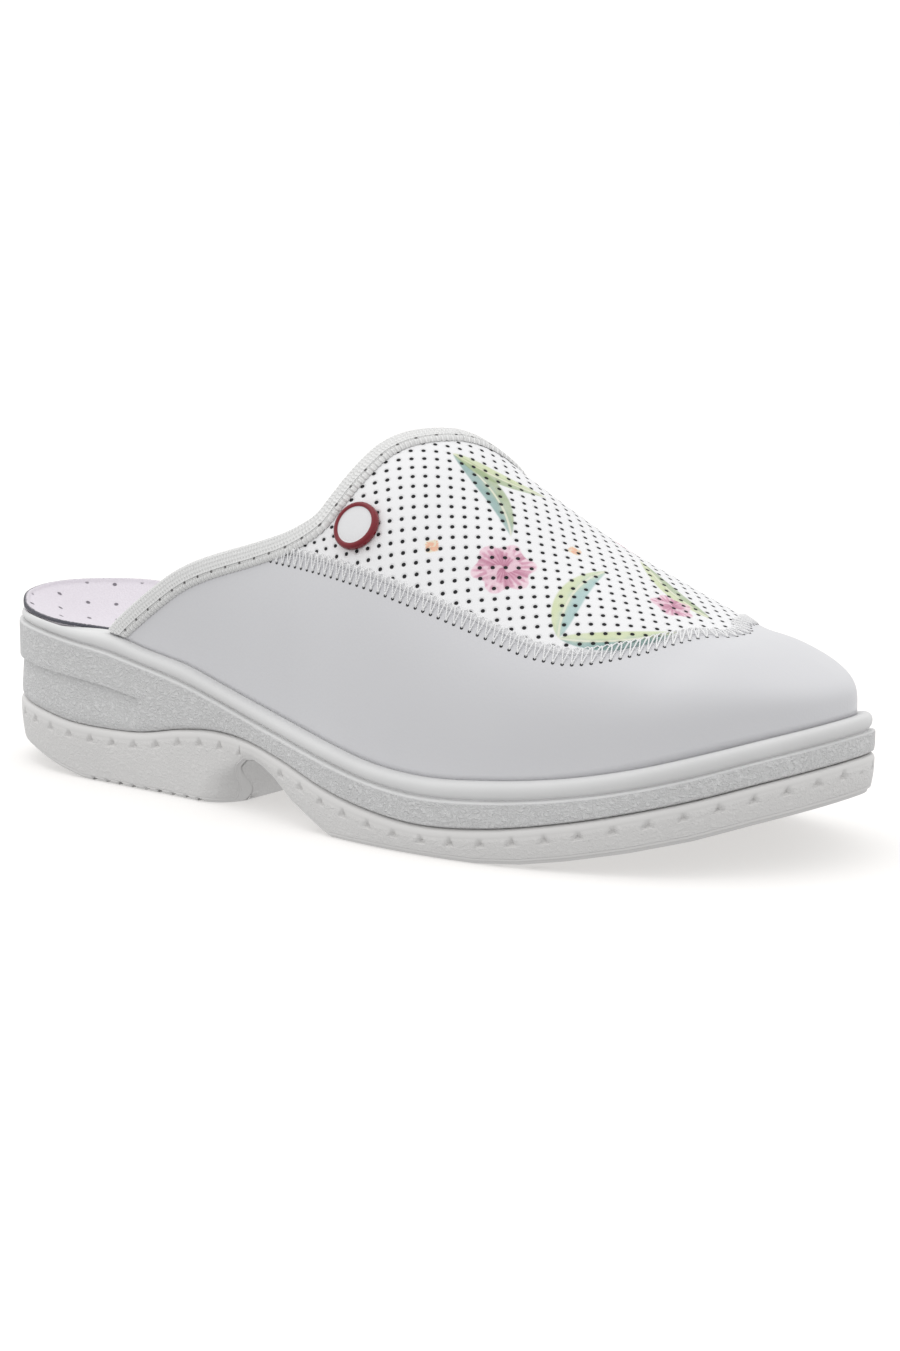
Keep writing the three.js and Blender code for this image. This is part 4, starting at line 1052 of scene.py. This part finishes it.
def tubes(paths, normals, radius, sides=6):
    """Round threads along paths given as (thread, point, 3): each section is a circle in the plane of
    the normal and the direction square to it and to the path."""
    tangent = unit(np.gradient(paths, axis=1))
    side = unit(np.cross(tangent, normals))
    up = np.cross(side, tangent)
    angle = np.linspace(0, 2 * PI, sides, endpoint=False)
    ring = side[:, :, None] * np.cos(angle)[:, None] + up[:, :, None] * np.sin(angle)[:, None]
    points = paths[:, :, None] + ring * radius
    threads, steps = paths.shape[:2]
    faces = grid_faces(steps, sides, True)
    faces = (faces[None] + (np.arange(threads) * steps * sides)[:, None, None]).reshape(-1, 4)
    gap = np.linalg.norm(np.diff(paths, axis=1), axis=-1)
    walked = np.concatenate([np.zeros((threads, 1)), np.cumsum(gap, 1)], 1)
    values = {
        "along": np.repeat(walked.reshape(-1), sides),
        "around": np.tile(angle / (2 * PI), threads * steps),
    }
    return points.reshape(-1, 3), faces, values


STITCH_PITCH = 2.35
SEAM_ENDS = (0.497, 0.405)


def seam_turns(distances):
    """Turn angles at distances along the seam, from its medial end round the toe to its lateral end."""
    medial, lateral = SEAM_ENDS
    fine = np.linspace(turn_at(medial), 2 * PI - turn_at(lateral), 3001)
    walked = walked_along(seam_frame(fine, np.zeros_like(fine), np.zeros_like(fine))[0])
    return np.interp(distances, walked, fine), walked[-1]


def seam_thread(pattern, radius):
    """A thread that repeats its pattern at each stitch: rows of distance along, offset from the seam
    and lift, all in stitch pitches or millimetres."""
    total = seam_turns(np.zeros(1))[1]
    count = int(total / STITCH_PITCH)
    pattern = np.asarray(pattern, float)
    along = (np.arange(count)[:, None] + pattern[:, 0]) * STITCH_PITCH
    offset = np.tile(pattern[:, 1], (count, 1))
    lift = np.tile(pattern[:, 2], (count, 1))
    knots = np.stack([along.ravel(), offset.ravel(), lift.ravel()], 1)
    fine = np.linspace(0, len(knots) - 1, (len(knots) - 1) * 3 + 1)
    curves = [smooth_curve(np.arange(len(knots)), knots[:, k])(fine) for k in range(3)]
    turn = seam_turns(curves[0])[0]
    point, _, normal = seam_frame(turn, curves[1], curves[2])
    return tubes(point[None], normal[None], radius, 6)


def seam_stitches():
    """Zigzag seam: an arched thread from needle hole to needle hole, and a wavy one on the insert."""
    arch = [
        (0.0, -2.7, -0.35), (0.05, -2.35, 0.2), (0.2, -0.7, 0.42), (0.34, 0.8, 0.55),
        (0.5, 1.5, 0.5), (0.66, 0.8, 0.55), (0.8, -0.7, 0.42), (0.95, -2.35, 0.2),
    ]
    wave = [(0.0, 2.0, 0.2), (0.25, 1.5, 0.38), (0.5, 1.0, 0.42), (0.75, 1.5, 0.38)]
    (points, faces, values), (more, more_faces, more_values) = seam_thread(arch, 0.2), seam_thread(wave, 0.16)
    faces = np.concatenate([faces, more_faces + len(points)])
    points = np.concatenate([points, more])
    values = {key: np.concatenate([values[key], more_values[key]]) for key in values}
    dressed("seam_stitches", points, faces, thread_finish(), (), values)


def stitch_hole_shade_discs():
    """Small dark dimples where the arched thread enters the leather, painted near-black as the shade inside
    the needle holes.
    """
    total = seam_turns(np.zeros(1))[1]
    count = int(total / STITCH_PITCH)
    turn = seam_turns(np.arange(count) * STITCH_PITCH)[0]
    centre, tangent, normal = seam_frame(turn, np.full(count, -2.8), np.full(count, 0.03))
    side = np.cross(normal, tangent)
    angle = np.linspace(0, 2 * PI, 10, endpoint=False)
    circle = tangent[:, None] * np.cos(angle)[:, None] + side[:, None] * np.sin(angle)[:, None]
    outer = centre[:, None] + circle * 0.46
    inner = centre[:, None] + circle * 0.08 + normal[:, None] * 0.04
    points = np.concatenate([outer, inner], 1).reshape(-1, 3)
    one = grid_faces(2, 10, True)
    faces = (one[None] + (np.arange(count) * 20)[:, None, None]).reshape(-1, 4)
    dressed("stitch_hole_shade_discs", points, faces, stitch_hole_shade_finish())


def walk_over(turn, climb, direction, distance, steps):
    """Walks over the surface in a direction in space, in equal steps; gives turn and climb of each. A
    path that passes the ridge goes on down the other side."""
    turns, climbs = [turn], [climb]
    for _ in range(steps):
        _, along, up, _ = upper_frame(turns[-1], climbs[-1])
        a, b, d = (np.sum(m * n, -1) for m, n in ((along, along), (along, up), (up, up)))
        p, q = np.sum(along * direction, -1), np.sum(up * direction, -1)
        scale = distance / steps / (a * d - b * b)
        turn = turns[-1] + (p * d - q * b) * scale
        climb = np.maximum(climbs[-1] + (q * a - p * b) * scale, 0.004)
        turns.append(np.where(climb > 1, -turn, turn))
        climbs.append(np.where(climb > 1, 2 - climb, climb))
    return np.array(turns), np.array(climbs)


def collar_spot(girth):
    """Turn and climb of the collar edge at a girth."""
    side = np.where(girth < 0, -1.0, 1.0)
    return side * turn_at(collar_share(girth)), 1 - np.abs(girth)


def collar_tape():
    """Tape folded over the collar: its section runs up the outside, round the fold and down the
    inside, and its outer hem swings in and out in small scallops."""
    fine = np.linspace(-0.994, 0.994, 8001)
    line = upper_point(*collar_spot(fine))
    walked = walked_along(line)
    along = np.linspace(0, walked[-1], int(walked[-1] / 0.24))
    girth = np.interp(along, walked, fine)
    turn, climb = collar_spot(girth)
    ahead = upper_point(*collar_spot(np.minimum(girth + 0.003, 1)))
    behind = upper_point(*collar_spot(np.maximum(girth - 0.003, -1)))
    normal = upper_normal(turn, climb)
    away = unit(np.cross(unit(ahead - behind), normal))
    width = TAPE_WIDTH - 0.1 + 0.28 * np.abs(np.sin(PI * along / SCALLOP_PITCH))
    turns, climbs = walk_over(turn, climb, away, width, 8)
    point, face = upper_point(turns, climbs), upper_normal(turns, climbs)
    levels = np.linspace(0, 1, 9)[:, None]
    puff = 0.42 + 0.5 * np.sqrt(np.clip(1 - (2 * levels - 0.75) ** 4 * 0.35, 0, 1))
    puff = puff * (1 - 0.55 * (levels > 0.99))
    outside = point + face * puff[..., None]
    hem = point[-1:] + face[-1:] * 0.08
    turn_over = np.linspace(0, PI, 9)[1:-1, None, None]
    centre = point[0] - face[0] * (LEATHER / 2)
    half = LEATHER / 2 + 0.95
    fold = centre + face[0] * np.cos(turn_over) * half - away * np.sin(turn_over) * (0.95 + 0.35)
    inside = point[::2] - face[::2] * (LEATHER + 0.95)
    points = np.concatenate([hem, outside[::-1], fold, inside, point[-1:] - face[-1:] * (LEATHER + 0.1)])
    rows, columns = points.shape[:2]
    gaps = np.linalg.norm(np.diff(points, axis=0), axis=-1)
    across = np.concatenate([np.zeros((1, columns)), np.cumsum(gaps, 0)])
    across = np.abs(across[1 + len(levels)] - across)
    faces = grid_faces(rows, columns)
    values = {"along": np.broadcast_to(along, (rows, columns)), "across": across}
    dressed("collar_tape", points, faces, tape_finish(), ("collar_binding",), values)


BADGE_SHARE = 0.53
BADGE_CLIMB = 0.475
BADGE_RADIUS = 6.4
BADGE_THICKNESS = 2.0


def badge_piece():
    """Dished disc with a raised rim, bent to lie on the insert."""
    profile = np.array([
        (0.0, 0.82), (0.4, 0.81), (0.72, 0.8), (0.765, 0.78), (0.785, 0.88), (0.82, 0.99), (0.88, 1.02),
        (0.94, 0.98), (0.985, 0.82), (1.0, 0.6), (1.0, 0.2), (0.96, 0.02), (0.0, 0.0),
    ])
    segments = 72
    turn, climb = -turn_at(BADGE_SHARE), BADGE_CLIMB
    _, along, _, normal = upper_frame(turn, climb)
    ahead = unit(-along)
    up = np.cross(normal, ahead)
    angle = np.linspace(0, 2 * PI, segments, endpoint=False)
    direction = ahead * np.cos(angle)[:, None] + up * np.sin(angle)[:, None]
    rings = []
    for radius, lift in profile:
        start = np.full(segments, turn), np.full(segments, climb)
        turns, climbs = walk_over(*start, direction, radius * BADGE_RADIUS, 3)
        spot = upper_point(turns[-1], climbs[-1])
        rings.append(spot + normal * (0.1 + lift * BADGE_THICKNESS))
    points = np.array(rings)
    radius = np.broadcast_to(profile[:, :1], points.shape[:2]) + (np.arange(len(profile)) > 8)[:, None]
    faces = grid_faces(len(profile), segments, True)
    dressed("badge_disc", points, faces, badge_finish(), ("badge",), {"radius": radius})


def area_light(name, place, aim, size, power):
    """Soft square lamp turned to a point."""
    lamp = bpy.data.lights.new(name, "AREA")
    lamp.size = size
    lamp.energy = power
    holder = bpy.data.objects.new(name, lamp)
    holder.location = place
    holder.rotation_euler = (Vector(aim) - Vector(place)).to_track_quat("-Z", "Y").to_euler()
    bpy.context.scene.collection.objects.link(holder)


def studio():
    """Pale floor, pale surroundings that are brighter behind and above the slipper, soft lamps, and the
    camera at the photograph's place."""
    floor_mesh = bpy.data.meshes.new("floor")
    floor_mesh.from_pydata([(-40, -40, 0), (40, -40, 0), (40, 40, 0), (-40, 40, 0)], [], [(0, 1, 2, 3)])
    floor = bpy.data.objects.new("floor", floor_mesh)
    paint = Finish("floor_paint", Base_Color=(0.72, 0.71, 0.7, 1), Roughness=0.95, Specular_IOR_Level=0.05)
    paint.give(Emission_Color=(1.0, 0.985, 0.97, 1), Emission_Strength=0.36)
    floor.visible_diffuse = False
    floor.visible_glossy = False
    floor_mesh.materials.append(paint.material)
    bpy.context.scene.collection.objects.link(floor)
    world = bpy.data.worlds.new("studio")
    world.use_nodes = True
    tree = world.node_tree
    direction = tree.nodes.new("ShaderNodeTexCoord").outputs["Generated"]
    lean = tree.nodes.new("ShaderNodeVectorMath")
    lean.operation = "DOT_PRODUCT"
    lean.inputs[1].default_value = (-0.25, 0.3, 0.92)
    tree.links.new(direction, lean.inputs[0])
    level = tree.nodes.new("ShaderNodeMapRange")
    level.inputs["From Min"].default_value = -0.92
    level.inputs["From Max"].default_value = 0.45
    level.inputs["To Min"].default_value = 0.52
    level.inputs["To Max"].default_value = 1.05
    tree.links.new(lean.outputs["Value"], level.inputs["Value"])
    tree.links.new(level.outputs["Result"], tree.nodes["Background"].inputs["Strength"])
    tree.nodes["Background"].inputs["Color"].default_value = (1, 1, 1, 1)
    bpy.context.scene.world = world
    bpy.context.scene.view_settings.view_transform = "Standard"
    area_light("overhead", (-0.35, -0.1, 1.3), (0, 0, 0.03), 1.0, 2)
    camera = bpy.data.cameras.new("camera")
    camera.sensor_width = 36
    camera.lens = 82.2
    camera.clip_start = 0.01
    holder = bpy.data.objects.new("camera", camera)
    holder.location = (0.48219, -0.63273, 0.17804)
    holder.rotation_euler = (Vector((0.014, 0, 0.035)) - holder.location).to_track_quat("-Z", "Y").to_euler()
    bpy.context.scene.collection.objects.link(holder)
    bpy.context.scene.camera = holder


outsole_piece()
tread_piece()
midsole_piece()
insole_piece()
upper_piece()
insert_piece()
seam_stitches()
stitch_hole_shade_discs()
collar_tape()
badge_piece()
studio()
